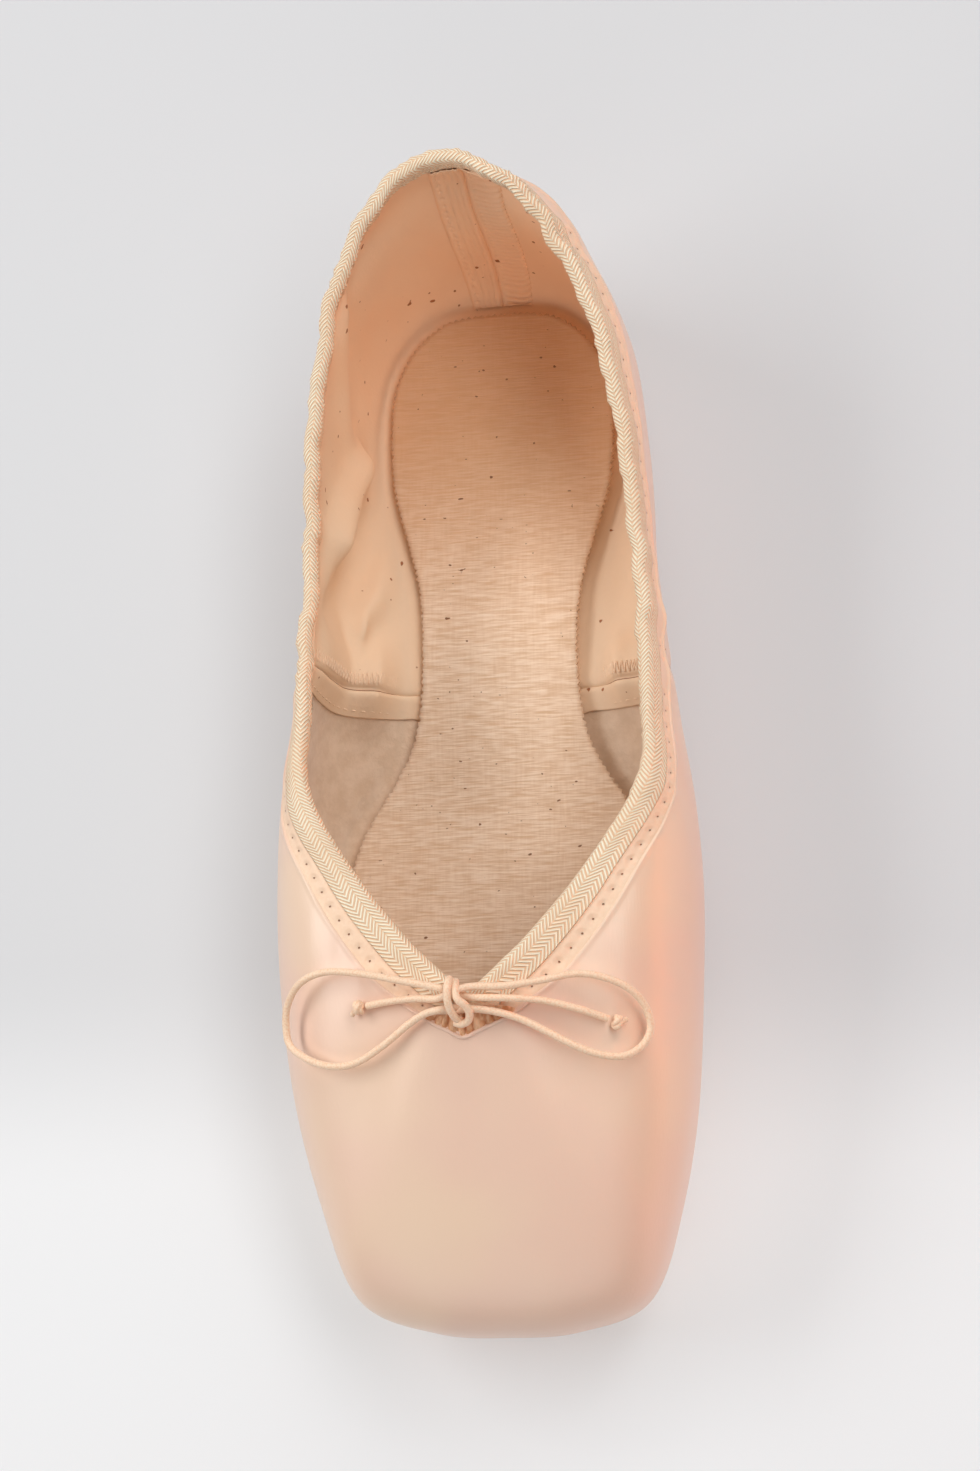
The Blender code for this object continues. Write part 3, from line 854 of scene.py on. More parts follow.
def ladder_faces(loop: Array, start: int, points: list[Array], across: int) -> list[tuple[int, ...]]:
    """Faces of a sheet between the two sides of a closed loop, laid like the rungs of a ladder.

    Args:
        loop: The loop's points, from one end of the sheet round to it again.
        start: The index of the loop's first point among all points.
        points: All points so far, to which the points inside the loop are added.
        across: How many faces lie side by side on each rung.

    Returns:
        The faces, as indices of all points.
    """
    half = len(loop) // 2
    rungs = [[start] * (across + 1)]
    for j in range(1, half):
        left, right = loop[-j], loop[j]
        first = len(points)
        points += [left + (right - left) * k / across for k in range(1, across)]
        rungs.append([start + len(loop) - j, *range(first, first + across - 1), start + j])
    rungs.append([start + half] * (across + 1))
    faces = []
    for low, high in zip(rungs, rungs[1:]):
        for k in range(across):
            corners = tuple(dict.fromkeys((low[k], low[k + 1], high[k + 1], high[k])))
            if len(corners) > 2:
                faces.append(corners)
    return faces


def sheet_points(grid: Array, columns: Array, rows: Array) -> Array:
    """Points of a closed grid at fractional columns and rows, one for each pair."""
    count = len(grid)
    j = np.floor(columns).astype(int)
    i = np.clip(np.floor(rows).astype(int), 0, grid.shape[1] - 2)
    a, b = (columns - j)[..., None], (rows - i)[..., None]
    near = grid[j % count, i] * (1.0 - b) + grid[j % count, i + 1] * b
    far = grid[(j + 1) % count, i] * (1.0 - b) + grid[(j + 1) % count, i + 1] * b
    return near * (1.0 - a) + far * a


def on_sheet(grid: Array, columns: Array, rows: Array) -> Array:
    """A smaller grid cut out of a closed grid, at fractional columns and rows."""
    return sheet_points(grid, *np.meshgrid(columns, rows, indexing="ij"))


def down_sheet(grid: Array, column: float, rows: Array) -> Array:
    """Points down one fractional column of a closed grid."""
    return on_sheet(grid, np.array([float(column)]), rows)[0]


def finish_piece(made: bpy.types.Object, slot: str, *nodes: str) -> None:
    """Lets a piece ride on the shoe, names the nodes that it replaces, and reports it."""
    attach(made, BODY)
    if nodes:
        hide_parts(*nodes)
    LOG.info("%s: %s", made.name, "replaces " + ", ".join(nodes) if nodes else "new piece")


def linear(code: str) -> tuple[float, float, float, float]:
    """Linear colour of an sRGB hex code such as "f0c8a8"."""
    parts = [int(code[k : k + 2], 16) / 255 for k in (0, 2, 4)]
    turned = [c / 12.92 if c <= 0.04045 else ((c + 0.055) / 1.055) ** 2.4 for c in parts]
    return (*turned, 1.0)


def set_inputs(tree: Tree, node: bpy.types.Node, inputs: dict[Any, Any]) -> None:
    """Gives a node's inputs, by name or number, their values, or links them to sockets."""
    for name, value in inputs.items():
        if isinstance(value, Socket):
            tree.links.new(value, node.inputs[name])
        else:
            node.inputs[name].default_value = value


def add_node(tree: Tree, kind: str, inputs: dict[Any, Any] | None = None,
             **settings: Any) -> bpy.types.Node:
    """Adds a node to a tree.

    Args:
        tree: The node tree.
        kind: The node's type name.
        inputs: Values or sockets for its inputs, by name or number.
        settings: Its other settings.

    Returns:
        The new node.
    """
    made = tree.nodes.new(kind)
    for name, value in settings.items():
        setattr(made, name, value)
    set_inputs(tree, made, inputs or {})
    return made


@dataclass(frozen=True)
class Finish:
    """A material's name and the values that are the same all over it.

    Each kind adds its own pattern. Noise scales are repeats per metre.
    """

    name: str
    roughness: float
    coat: float = 0.0
    coat_roughness: float = 0.3
    sheen: float = 0.0
    sheen_roughness: float = 0.5
    sheen_tint: str = "ffffff"
    ior: float = 1.5

    def build(self) -> Material:
        """The material, with its plain values and its pattern on its shader."""
        made = bpy.data.materials.new(self.name)
        made.use_nodes = True
        tree = made.node_tree
        plain = {
            "Roughness": self.roughness,
            "Coat Weight": self.coat,
            "Coat Roughness": self.coat_roughness,
            "Sheen Weight": self.sheen,
            "Sheen Roughness": self.sheen_roughness,
            "Sheen Tint": linear(self.sheen_tint),
            "IOR": self.ior,
        }
        set_inputs(tree, tree.nodes["Principled BSDF"], plain | self.pattern(tree))
        return made

    def pattern(self, tree: Tree) -> dict[str, Any]:
        """The shader's inputs that change from place to place. Each kind has its own."""
        raise NotImplementedError

    @staticmethod
    def noise(tree: Tree, scale: Any, detail: float, rough: float = 0.5) -> Socket:
        """Noise over the object, with scale as its repeats per metre, or three for X, Y and Z."""
        repeats = scale if isinstance(scale, tuple) else (scale, scale, scale)
        where = add_node(tree, "ShaderNodeTexCoord").outputs["Object"]
        mapped = add_node(tree, "ShaderNodeMapping", {"Vector": where, "Scale": repeats})
        inputs = {"Vector": mapped.outputs["Vector"], "Scale": 1.0, "Detail": detail, "Roughness": rough}
        return add_node(tree, "ShaderNodeTexNoise", inputs).outputs["Fac"]

    @staticmethod
    def heelward(tree: Tree) -> Socket:
        """The object's own Y, which grows towards the heel."""
        where = add_node(tree, "ShaderNodeTexCoord").outputs["Object"]
        return add_node(tree, "ShaderNodeSeparateXYZ", {"Vector": where}).outputs["Y"]

    @staticmethod
    def on_cloth(tree: Tree) -> tuple[Socket, Socket]:
        """Lengths along and across the cloth, in metres."""
        laid = add_node(tree, "ShaderNodeUVMap", uv_map=CLOTH_MAP).outputs["UV"]
        split = add_node(tree, "ShaderNodeSeparateXYZ", {"Vector": laid})
        return split.outputs["X"], split.outputs["Y"]

    @staticmethod
    def ramp(tree: Tree, value: Socket, low: float, high: float, out_low: float = 0.0,
             out_high: float = 1.0) -> Socket:
        """A value taken smoothly from the range low to high to another range."""
        inputs = {"Value": value, "From Min": low, "From Max": high, "To Min": out_low, "To Max": out_high}
        made = add_node(tree, "ShaderNodeMapRange", inputs, interpolation_type="SMOOTHSTEP")
        return made.outputs["Result"]

    @staticmethod
    def reckon(tree: Tree, operation: str, *values: Any) -> Socket:
        """One arithmetic step."""
        return add_node(tree, "ShaderNodeMath", dict(enumerate(values)), operation=operation).outputs[0]

    @staticmethod
    def mix(tree: Tree, share: Socket, first: Any, second: Any) -> Socket:
        """Two colours mixed, each a hex code or a socket."""
        hues = [linear(hue) if isinstance(hue, str) else hue for hue in (first, second)]
        made = add_node(tree, "ShaderNodeMix", {0: share, 6: hues[0], 7: hues[1]}, data_type="RGBA")
        return made.outputs[2]

    @staticmethod
    def relief(tree: Tree, *layers: tuple[Socket, float]) -> Socket:
        """A normal with bumps of given heights in metres, one on another."""
        normal = {}
        for height, distance in layers:
            inputs = {"Height": height, "Distance": distance, "Strength": 1.0, **normal}
            normal = {"Normal": add_node(tree, "ShaderNodeBump", inputs).outputs["Normal"]}
        return normal["Normal"]


@dataclass(frozen=True)
class DuchesseSatin(Finish):
    """Polyester duchesse satin, woven with long floats and stretched over the last.

    The floats give a soft broad gloss and a pale bloom at grazing angles, over a peach ground
    that turns orange where light passes from cloth to cloth.
    """

    name: str = "duchesse_satin"
    roughness: float = 0.44
    coat: float = 0.55
    coat_roughness: float = 0.36
    ior: float = 1.55
    sheen: float = 0.25
    sheen_roughness: float = 0.35
    sheen_tint: str = "ffeae0"
    peach: str = "f3d2b6"
    rose: str = "f1cbb4"
    thread: float = 0.42 * MM

    def pattern(self, tree: Tree) -> dict[str, Any]:
        """Soft clouds, with the floats drawn as coarse as they need to show."""
        cloud = self.ramp(tree, self.noise(tree, 28, 2.0), 0.35, 0.65)
        floats = self.noise(tree, (1 / self.thread, 0.12 / self.thread, 1 / self.thread), 2.0)
        wrinkles = self.noise(tree, (140, 90, 140), 3.0, 0.6)
        patches = self.ramp(tree, self.noise(tree, 24, 1.0), 0.45, 0.75)
        fine = self.reckon(tree, "MULTIPLY", wrinkles, patches)
        return {
            "Base Color": self.mix(tree, cloud, self.peach, self.rose),
            "Normal": self.relief(tree, (fine, 0.10 * MM), (floats, 0.030 * MM)),
        }


@dataclass(frozen=True)
class ShadedGatheredSatin(Finish):
    """The same satin drawn up in tight pleats, coloured darker and more orange as painted shade."""

    name: str = "gathered_satin_painted_shade"
    roughness: float = 0.5
    sheen: float = 0.2
    light: str = "f0bf95"
    deep: str = "cf8c5c"

    def pattern(self, tree: Tree) -> dict[str, Any]:
        """Fine creases along the pleats."""
        cloud = self.ramp(tree, self.noise(tree, (900, 500, 500), 2.0), 0.35, 0.65)
        return {
            "Base Color": self.mix(tree, cloud, self.deep, self.light),
            "Normal": self.relief(tree, (cloud, 0.10 * MM)),
        }


@dataclass(frozen=True)
class HerringboneTape(Finish):
    """Cotton herringbone tape, woven in columns of chevrons and folded over the collar.

    The raised ribs are painted paler, as painted highlight on the tape's cream, and the rows
    between them darker and more orange, as painted shade, so the weave reads as pale
    chevrons on peach.
    """

    name: str = "herringbone_cotton_tape"
    roughness: float = 0.85
    sheen: float = 0.1
    sheen_roughness: float = 0.6
    sheen_tint: str = "ffe6cc"
    rib_cream_and_painted_highlight: str = "fff2d8"
    row_painted_shade: str = "f3c69c"
    rib: float = 0.95 * MM
    column: float = 1.9 * MM
    spine: float = 0.22 * MM
    rib_height: float = 0.20 * MM

    def pattern(self, tree: Tree) -> dict[str, Any]:
        """Chevrons, with ribs a little wider than real thread so that they show."""
        along, across = self.on_cloth(tree)
        wander = self.reckon(tree, "MULTIPLY", self.noise(tree, 260, 2.0), 0.5 * self.rib)
        chevron = self.reckon(tree, "PINGPONG", across, self.column)
        phase = self.reckon(tree, "ADD", self.reckon(tree, "ADD", along, chevron), wander)
        turn = self.reckon(tree, "MULTIPLY", phase, 2 * math.pi / self.rib)
        rib = self.ramp(tree, self.reckon(tree, "SINE", turn), -1.0, 0.45)
        height = self.reckon(tree, "MULTIPLY", rib, self.ramp(tree, chevron, 0.0, self.spine, 0.55, 1.0))
        grain = self.reckon(tree, "MULTIPLY_ADD", self.noise(tree, 2300, 1.0), 0.35, height)
        # worn varies the ribs' painted light at random. lit is the ribs' height, which sets a painted
        # highlight on the ribs and painted shade in the rows between them.
        worn = self.ramp(tree, self.noise(tree, 90, 2.0), 0.3, 0.7, 0.78, 1.0)
        lit = self.reckon(tree, "MULTIPLY", height, worn)
        return {
            "Base Color": self.mix(tree, lit, self.row_painted_shade, self.rib_cream_and_painted_highlight),
            "Normal": self.relief(tree, (grain, self.rib_height)),
        }


@dataclass(frozen=True)
class StitchedFacing(Finish):
    """The casing's satin facing, sewn down with one line of small stitches.

    Each needle hole is a small dimple in painted shade, and the satin pulls in a little round it.
    """

    name: str = "stitched_satin_facing"
    roughness: float = 0.55
    sheen: float = 0.2
    satin: str = "fadbbf"
    weft: str = "f3cba8"
    shade: str = "a86d45"
    pitch: float = 3.65 * MM
    from_edge: float = 1.7 * MM
    hole: float = 0.28 * MM
    pull: float = 1.4 * MM

    def pattern(self, tree: Tree) -> dict[str, Any]:
        """A needle hole at each stitch's end, in a fine weave."""
        place, height = self.on_cloth(tree)
        along = self.reckon(tree, "PINGPONG", place, self.pitch / 2)
        across = self.reckon(tree, "SUBTRACT", height, self.from_edge)
        squares = [self.reckon(tree, "MULTIPLY", side, side) for side in (along, across)]
        far = self.reckon(tree, "SQRT", self.reckon(tree, "ADD", *squares))
        # The needle holes' dark colour is painted shade in their dimples.
        hole = self.ramp(tree, far, 0.35 * self.hole, self.hole)
        weave = self.noise(tree, 1500, 2.0)
        cloud = self.mix(tree, weave, self.weft, self.satin)
        pulled = self.ramp(tree, far, 0.0, self.pull)
        return {
            "Base Color": self.mix(tree, hole, self.shade, cloud),
            "Normal": self.relief(tree, (pulled, 0.25 * MM), (hole, 0.3 * MM), (weave, 0.03 * MM)),
        }


@dataclass(frozen=True)
class LiningDrill(Finish):
    """Cotton drill lining of the heel and quarters: close, smooth and warm, with a few flecks."""

    name: str = "cotton_drill_lining"
    roughness: float = 0.78
    sheen: float = 0.15
    sheen_tint: str = "ffe6d2"
    warm: str = "ffd0a8"
    pale: str = "ffd8b4"
    side: str = "f2d2b1"
    fleck: str = "a9683f"
    heel_shade_from: float = 0.050
    heel_shade_full: float = 0.090

    def pattern(self, tree: Tree) -> dict[str, Any]:
        """Soft clouds, painted shade that warms the heel, a fine weave and sparse flecks of seed husk."""
        cloud = self.ramp(tree, self.noise(tree, 35, 2.0), 0.3, 0.7)
        # The heel's warmer colours are painted shade, deep in the heel.
        heel = self.ramp(tree, self.heelward(tree), self.heel_shade_from, self.heel_shade_full)
        ground = self.mix(tree, heel, self.side, self.mix(tree, cloud, self.warm, self.pale))
        seed = self.ramp(tree, self.noise(tree, 430, 1.0), 0.75, 0.785)
        weave = self.noise(tree, 1700, 1.0)
        creases = self.noise(tree, (130, 130, 60), 3.0, 0.55)
        return {
            "Base Color": self.mix(tree, seed, ground, self.fleck),
            "Normal": self.relief(tree, (creases, 0.30 * MM), (weave, 0.04 * MM)),
        }


@dataclass(frozen=True)
class MattedLining(Finish):
    """Brushed cotton lining of the vamp: duller and greyer than the drill, with a short nap."""

    name: str = "brushed_cotton_lining"
    roughness: float = 0.95
    sheen: float = 0.35
    sheen_roughness: float = 0.7
    grey: str = "dcbc9d"
    pale: str = "e9ccb0"

    def pattern(self, tree: Tree) -> dict[str, Any]:
        """The nap, as fine and middling noise."""
        cloud = self.ramp(tree, self.noise(tree, 260, 4.0, 0.65), 0.30, 0.70)
        nap = self.noise(tree, 900, 3.0, 0.7)
        return {
            "Base Color": self.mix(tree, cloud, self.grey, self.pale),
            "Normal": self.relief(tree, (cloud, 0.08 * MM), (nap, 0.10 * MM)),
        }


@dataclass(frozen=True)
class SlubCanvas(Finish):
    """Unbleached slub canvas of the insole: thick and thin weft runs straight across the foot.

    The uneven weft gives fine pale and dark lines, and bits of husk give dark flecks.
    """

    name: str = "slub_canvas"
    roughness: float = 0.9
    sheen: float = 0.2
    sheen_roughness: float = 0.6
    pale: str = "fbe2c9"
    dark: str = "dfba97"
    warm: str = "d6a477"
    fleck: str = "8a6044"
    weft: float = 0.34 * MM
    warp: float = 0.55 * MM
    heel_shade_from: float = 0.030
    heel_shade_full: float = 0.085
    heel_shade_warmth: float = 0.75

    def pattern(self, tree: Tree) -> dict[str, Any]:
        """The weave, drawn coarser than the real one so that it shows, and warmed at the heel as painted
        shade.
        """
        weft = self.noise(tree, (240, 1.0 / self.weft, 240), 2.0)
        long = self.noise(tree, (30, 0.40 / self.weft, 30), 2.0)
        warp = self.noise(tree, (1 / self.warp, 160, 160), 2.0)
        lines = self.reckon(tree, "MULTIPLY_ADD", long, 0.15, self.reckon(tree, "MULTIPLY", weft, 0.80))
        lines = self.reckon(tree, "MULTIPLY_ADD", warp, 0.18, lines)
        ground = self.mix(tree, self.ramp(tree, lines, 0.34, 0.82), self.dark, self.pale)
        seed = self.ramp(tree, self.noise(tree, (620, 860, 620), 1.0), 0.745, 0.785)
        # The heel's warmer colour is painted shade, deep in the heel cup.
        heel = self.ramp(tree, self.heelward(tree), self.heel_shade_from, self.heel_shade_full, 0.0, self.heel_shade_warmth)
        ground = self.mix(tree, heel, ground, self.warm)
        return {
            "Base Color": self.mix(tree, seed, ground, self.fleck),
            "Normal": self.relief(tree, (lines, 0.11 * MM)),
        }


@dataclass(frozen=True)
class SoleSplit(Finish):
    """Suede-faced leather of the outsole, pale tan, with a scuffed nap."""

    name: str = "suede_sole_leather"
    roughness: float = 0.82
    tan: str = "cfa98a"
    worn: str = "b98f70"
    nap: float = 0.35 * MM

    def pattern(self, tree: Tree) -> dict[str, Any]:
        """The nap and soft scuffs that run the length of the sole."""
        scuff = self.ramp(tree, self.noise(tree, (60, 14, 60), 4.0, 0.6), 0.4, 0.65)
        nap = self.noise(tree, 1 / self.nap, 3.0, 0.7)
        return {
            "Base Color": self.mix(tree, scuff, self.tan, self.worn),
            "Normal": self.relief(tree, (nap, 0.12 * MM)),
        }


@dataclass(frozen=True)
class ElasticCord(Finish):
    """Round elastic in a close braided sleeve, dyed to match the satin, with a soft gloss."""

    name: str = "braided_elastic"
    roughness: float = 0.5
    sheen: float = 0.3
    peach: str = "fbdabb"
    shade: str = "f5c9a4"

    def pattern(self, tree: Tree) -> dict[str, Any]:
        """The sleeve's braid, as a fine noise."""
        braid = self.noise(tree, 2600, 1.0)
        return {
            "Base Color": self.mix(tree, self.ramp(tree, braid, 0.3, 0.6), self.shade, self.peach),
            "Normal": self.relief(tree, (braid, 0.03 * MM)),
        }


@dataclass(frozen=True)
class SewingThread(Finish):
    """Spun polyester sewing thread, paler than the cloth it sews unless darkened as painted shade."""

    name: str = "sewing_thread"
    roughness: float = 0.6
    light: str = "ffe6cb"
    deep: str = "edc39c"

    def pattern(self, tree: Tree) -> dict[str, Any]:
        """The thread's twist, as fine noise."""
        twist = self.noise(tree, 2600, 1.0)
        return {
            "Base Color": self.mix(tree, twist, self.deep, self.light),
            "Normal": self.relief(tree, (twist, 0.05 * MM)),
        }


@dataclass(frozen=True)
class FrostedAcrylic(Finish):
    """Frosted white acrylic of a light table, glowing with painted light as if lit from beneath.

    Its own light keeps the shoe's shadow pale. It is a little darker behind the shoe than before
    it.
    """

    name: str = "frosted_acrylic_painted_glow"
    roughness: float = 0.9
    front: str = "c0c0c1"
    back: str = "b8b8b9"
    front_glow: str = "ffffff"
    back_glow: str = "cfcfd1"
    glow: float = 0.34
    front_end: float = -0.090
    back_start: float = -0.035

    def pattern(self, tree: Tree) -> dict[str, Any]:
        """One soft change of tone across it."""
        share = self.ramp(tree, self.heelward(tree), self.front_end, self.back_start)
        return {
            "Base Color": self.mix(tree, share, self.front, self.back),
            # The floor's glow is painted light: no lamp lies beneath it.
            "Emission Color": self.mix(tree, share, self.front_glow, self.back_glow),
            "Emission Strength": self.glow,
        }


class Cast(Enum):
    """The two tints of the studio's lights."""

    PLAIN = "ffffff"
    WARM = "ff7a28"


class Lamp(NamedTuple):
    """One soft light: where it stands, where it looks, its size in metres, watts and spread."""

    name: str
    place: tuple[float, float, float]
    aim: tuple[float, float, float]
    size: tuple[float, float]
    watts: float
    cast: Cast
    spread: float = 180.0


@dataclass
class Studio:
    """The camera, the floor and the lights."""

    camera_place: tuple[float, float, float] = (0.098106, -0.152055, 0.590633)
    camera_aim: tuple[float, float, float] = (-0.000494, 0.004966, 0.0200)
    camera_roll: float = math.radians(-33.543)
    lens_mm: float = 69.24
    sensor_mm: float = 36.0
    floor_size: float = 40.0
    lamps: tuple[Lamp, ...] = (
        Lamp("left_softbox", (-0.70, 0.14, 0.60), (0.0, 0.0, 0.03), (0.7, 0.34), 4.6, Cast.PLAIN),
        Lamp("right_softbox", (0.38, 0.11, 0.79), (0.0, 0.0, 0.03), (0.7, 0.30), 2.7, Cast.PLAIN),
        Lamp("heel_bank", (0.32, 0.90, 0.92), (0.0, 0.05, 0.0), (1.2, 0.7), 6.3, Cast.PLAIN),
        Lamp("front_fill", (-0.1, -0.9, 0.60), (0.0, -0.05, 0.03), (1.2, 0.5), 2.25, Cast.PLAIN),
        Lamp("warm_bounce", (0.60, -0.02, 0.09), (0.0, -0.02, 0.045), (0.30, 0.06), 0.08, Cast.WARM, 60.0),
    )
    ambient: float = 0.12

    def set_camera(self) -> None:
        """Sets the camera at the photograph's angle to the shoe, rolled as it is there."""
        place, aim = Vector(self.camera_place), Vector(self.camera_aim)
        ahead = (aim - place).normalized()
        level = ahead.cross(Vector((0.0, 0.0, 1.0))).normalized()
        upward = level.cross(ahead)
        turn, rise = math.cos(self.camera_roll), math.sin(self.camera_roll)
        right = level * turn + upward * rise
        up = upward * turn - level * rise
        lens = bpy.data.cameras.new("photo_camera")
        lens.lens = self.lens_mm
        lens.sensor_width = self.sensor_mm
        lens.sensor_fit = "AUTO"
        lens.clip_start = 0.01
        made = add_object("photo_camera", lens)
        axes = Matrix((right, up, -ahead)).transposed().to_4x4()
        made.matrix_world = Matrix.Translation(place) @ axes
        bpy.context.scene.camera = made

    def lay_floor(self) -> None:
        """Lays the pale floor."""
        sheet = bmesh.new()
        bmesh.ops.create_grid(sheet, x_segments=8, y_segments=8, size=self.floor_size / 2)
        mesh = bpy.data.meshes.new("floor")
        sheet.to_mesh(mesh)
        sheet.free()
        mesh.materials.append(FrostedAcrylic().build())
        made = add_object("floor", mesh)

    def hang_lamps(self) -> None:
        """Hangs the soft lights and sets the room's even light."""
        for lamp in self.lamps:
            light = bpy.data.lights.new(lamp.name, "AREA")
            light.shape = "RECTANGLE"
            light.size, light.size_y = lamp.size
            light.energy = lamp.watts
            light.spread = math.radians(lamp.spread)
            light.color = linear(lamp.cast.value)[:3]
            made = add_object(lamp.name, light)
            made.location = lamp.place
            toward = Vector(lamp.aim) - Vector(lamp.place)
            made.rotation_euler = toward.to_track_quat("-Z", "Y").to_euler()
        world = bpy.data.worlds.new("studio_room")
        world.use_nodes = True
        back = world.node_tree.nodes["Background"]
        back.inputs["Color"].default_value = (1.0, 1.0, 1.0, 1.0)
        back.inputs["Strength"].default_value = self.ambient
        bpy.context.scene.world = world
        bpy.context.scene.view_settings.view_transform = "Standard"


@dataclass
class Drawstring:
    """The elastic drawstring, tied in a bow over the vamp, with a knot at each end.

    The knot's two turns are in mm from its middle: a bight over the strands, and a turn beside it
    that crosses below.
    """

    diameter: float = CORD_DIAMETER
    route_step: float = 0.5 * MM
    over: tuple[tuple[float, float, float], ...] = (
        (-1.6, 0.2, -2.6), (-1.4, 2.2, -2.0), (-1.0, 3.5, -0.1), (-0.9, 2.9, 1.7), (-1.1, 0.9, 2.3),
        (-1.0, -1.4, 1.6), (-0.5, -3.0, 0.2), (0.1, -3.9, -1.5), (1.0, -4.2, -2.9),
    )
    beside: tuple[tuple[float, float, float], ...] = (
        (0.1, 3.2, -0.4), (0.3, 2.3, 1.2), (0.4, 0.6, 1.7), (1.0, -0.8, 1.7), (2.2, -1.7, 1.1),
        (2.9, -3.1, -0.2), (2.4, -4.4, -1.5), (1.0, -4.9, -2.1), (-0.3, -4.5, -2.6),
    )
    turn_swell: float = 1.05
    turn_step: float = 0.25 * MM
    end_knot_ring: float = 0.74 * MM
    end_knot_tube: float = 0.58 * MM
    end_knot_steps: int = 96
    tail_step: float = 0.2 * MM

    def build(self) -> None:
        elastic = ElasticCord().build()
        left = self.string("drawstring_left", EXIT_LEFT, LOOP_LEFT[::-1], THROUGH_LEFT, END_RIGHT, elastic)
        right = self.string("drawstring_right", EXIT_RIGHT, LOOP_RIGHT[::-1], THROUGH_RIGHT, END_LEFT,
                            elastic)
        finish_piece(left[0], "cord", "bow_loop_left", "cord_end_right")
        finish_piece(right[0], "cord", "bow_loop_right", "cord_end_left")
        knot = self.bow_knot(elastic)
        finish_piece(knot, "cord", "bow_knot")
        bead_right = self.end_knot("end_bead_right", END_KNOT_RIGHT, END_RIGHT, elastic)
        bead_left = self.end_knot("end_bead_left", END_KNOT_LEFT, END_LEFT, elastic)
        finish_piece(bead_right, "cord", "end_knot_right")
        finish_piece(bead_left, "cord", "end_knot_left")

    def string(self, name: str, leave: Any, loop: Any, through: Any, end: Any,
               elastic: Material) -> tuple[bpy.types.Object, float]:
        """One string: out of the casing, round its loop, through the knot and to its end.

        Args:
            name: The piece's name.
            leave: Points where it leaves the casing.
            loop: Points of its loop.
            through: Points inside the knot.
            end: Points of its free end.
            elastic: Its finish.

        Returns:
            The curve object and its length in metres.
        """
        points = smooth_route((*leave, *loop, *through, *end), self.route_step)
        curve = bpy.data.curves.new(name, "CURVE")
        curve.dimensions = "3D"
        curve.bevel_depth = self.diameter / 2
        curve.bevel_resolution = 3
        curve.use_fill_caps = True
        curve.materials.append(elastic)
        spline = curve.splines.new("POLY")
        spline.points.add(len(points) - 1)
        for laid, point in zip(spline.points, points):
            laid.co = (*point, 1.0)
        spline.use_smooth = True
        return add_object(name, curve), float(run_lengths(points)[-1])

    def bow_knot(self, elastic: Material) -> bpy.types.Object:
        """The knot: a bight over the strands, and a second turn beside it that crosses below."""
        radius = self.diameter / 2 * self.turn_swell
        routes = [np.array(BOW_KNOT) + np.array(turn) * MM for turn in (self.over, self.beside)]
        shapes = [sweep(smooth_route(route, self.turn_step), radius, 14) for route in routes]
        return add_mesh("bow_knot_turns", *join_shapes(shapes), elastic)

    def end_knot(self, name: str, centre: tuple[float, float, float], end: Any,
                 elastic: Material) -> bpy.types.Object:
        """An overhand knot pulled tight, with the short cut tail that sticks out of it."""
        turn = np.linspace(0.0, 2 * math.pi, self.end_knot_steps, endpoint=False)
        ring = self.end_knot_ring
        reach = ring * (1.0 + 0.42 * np.cos(3 * turn))
        trefoil = np.stack(
            [reach * np.cos(2 * turn), reach * np.sin(2 * turn), 0.55 * ring * np.sin(3 * turn)], axis=1
        )
        ahead = unit(np.array(end[-1]) - np.array(end[-2]))
        side = unit(np.cross(ahead, [0.0, 0.0, 1.0]))
        axes = np.stack([side, np.cross(side, ahead), ahead])
        knot = trefoil @ axes + np.array(centre)
        start = np.array(centre) + 0.4 * MM * ahead
        aside = unit(ahead - 0.9 * side + np.array([0.0, 0.0, -0.35]))
        tail = smooth_route((start, start + 0.9 * MM * aside, start + 1.9 * MM * aside), self.tail_step)
        radii = self.end_knot_tube * np.linspace(1.0, 0.92, len(tail))
        shapes = [sweep(knot, self.end_knot_tube, 12, closed=True), sweep(tail, radii, 12)]
        return add_mesh(name, *join_shapes(shapes), elastic)


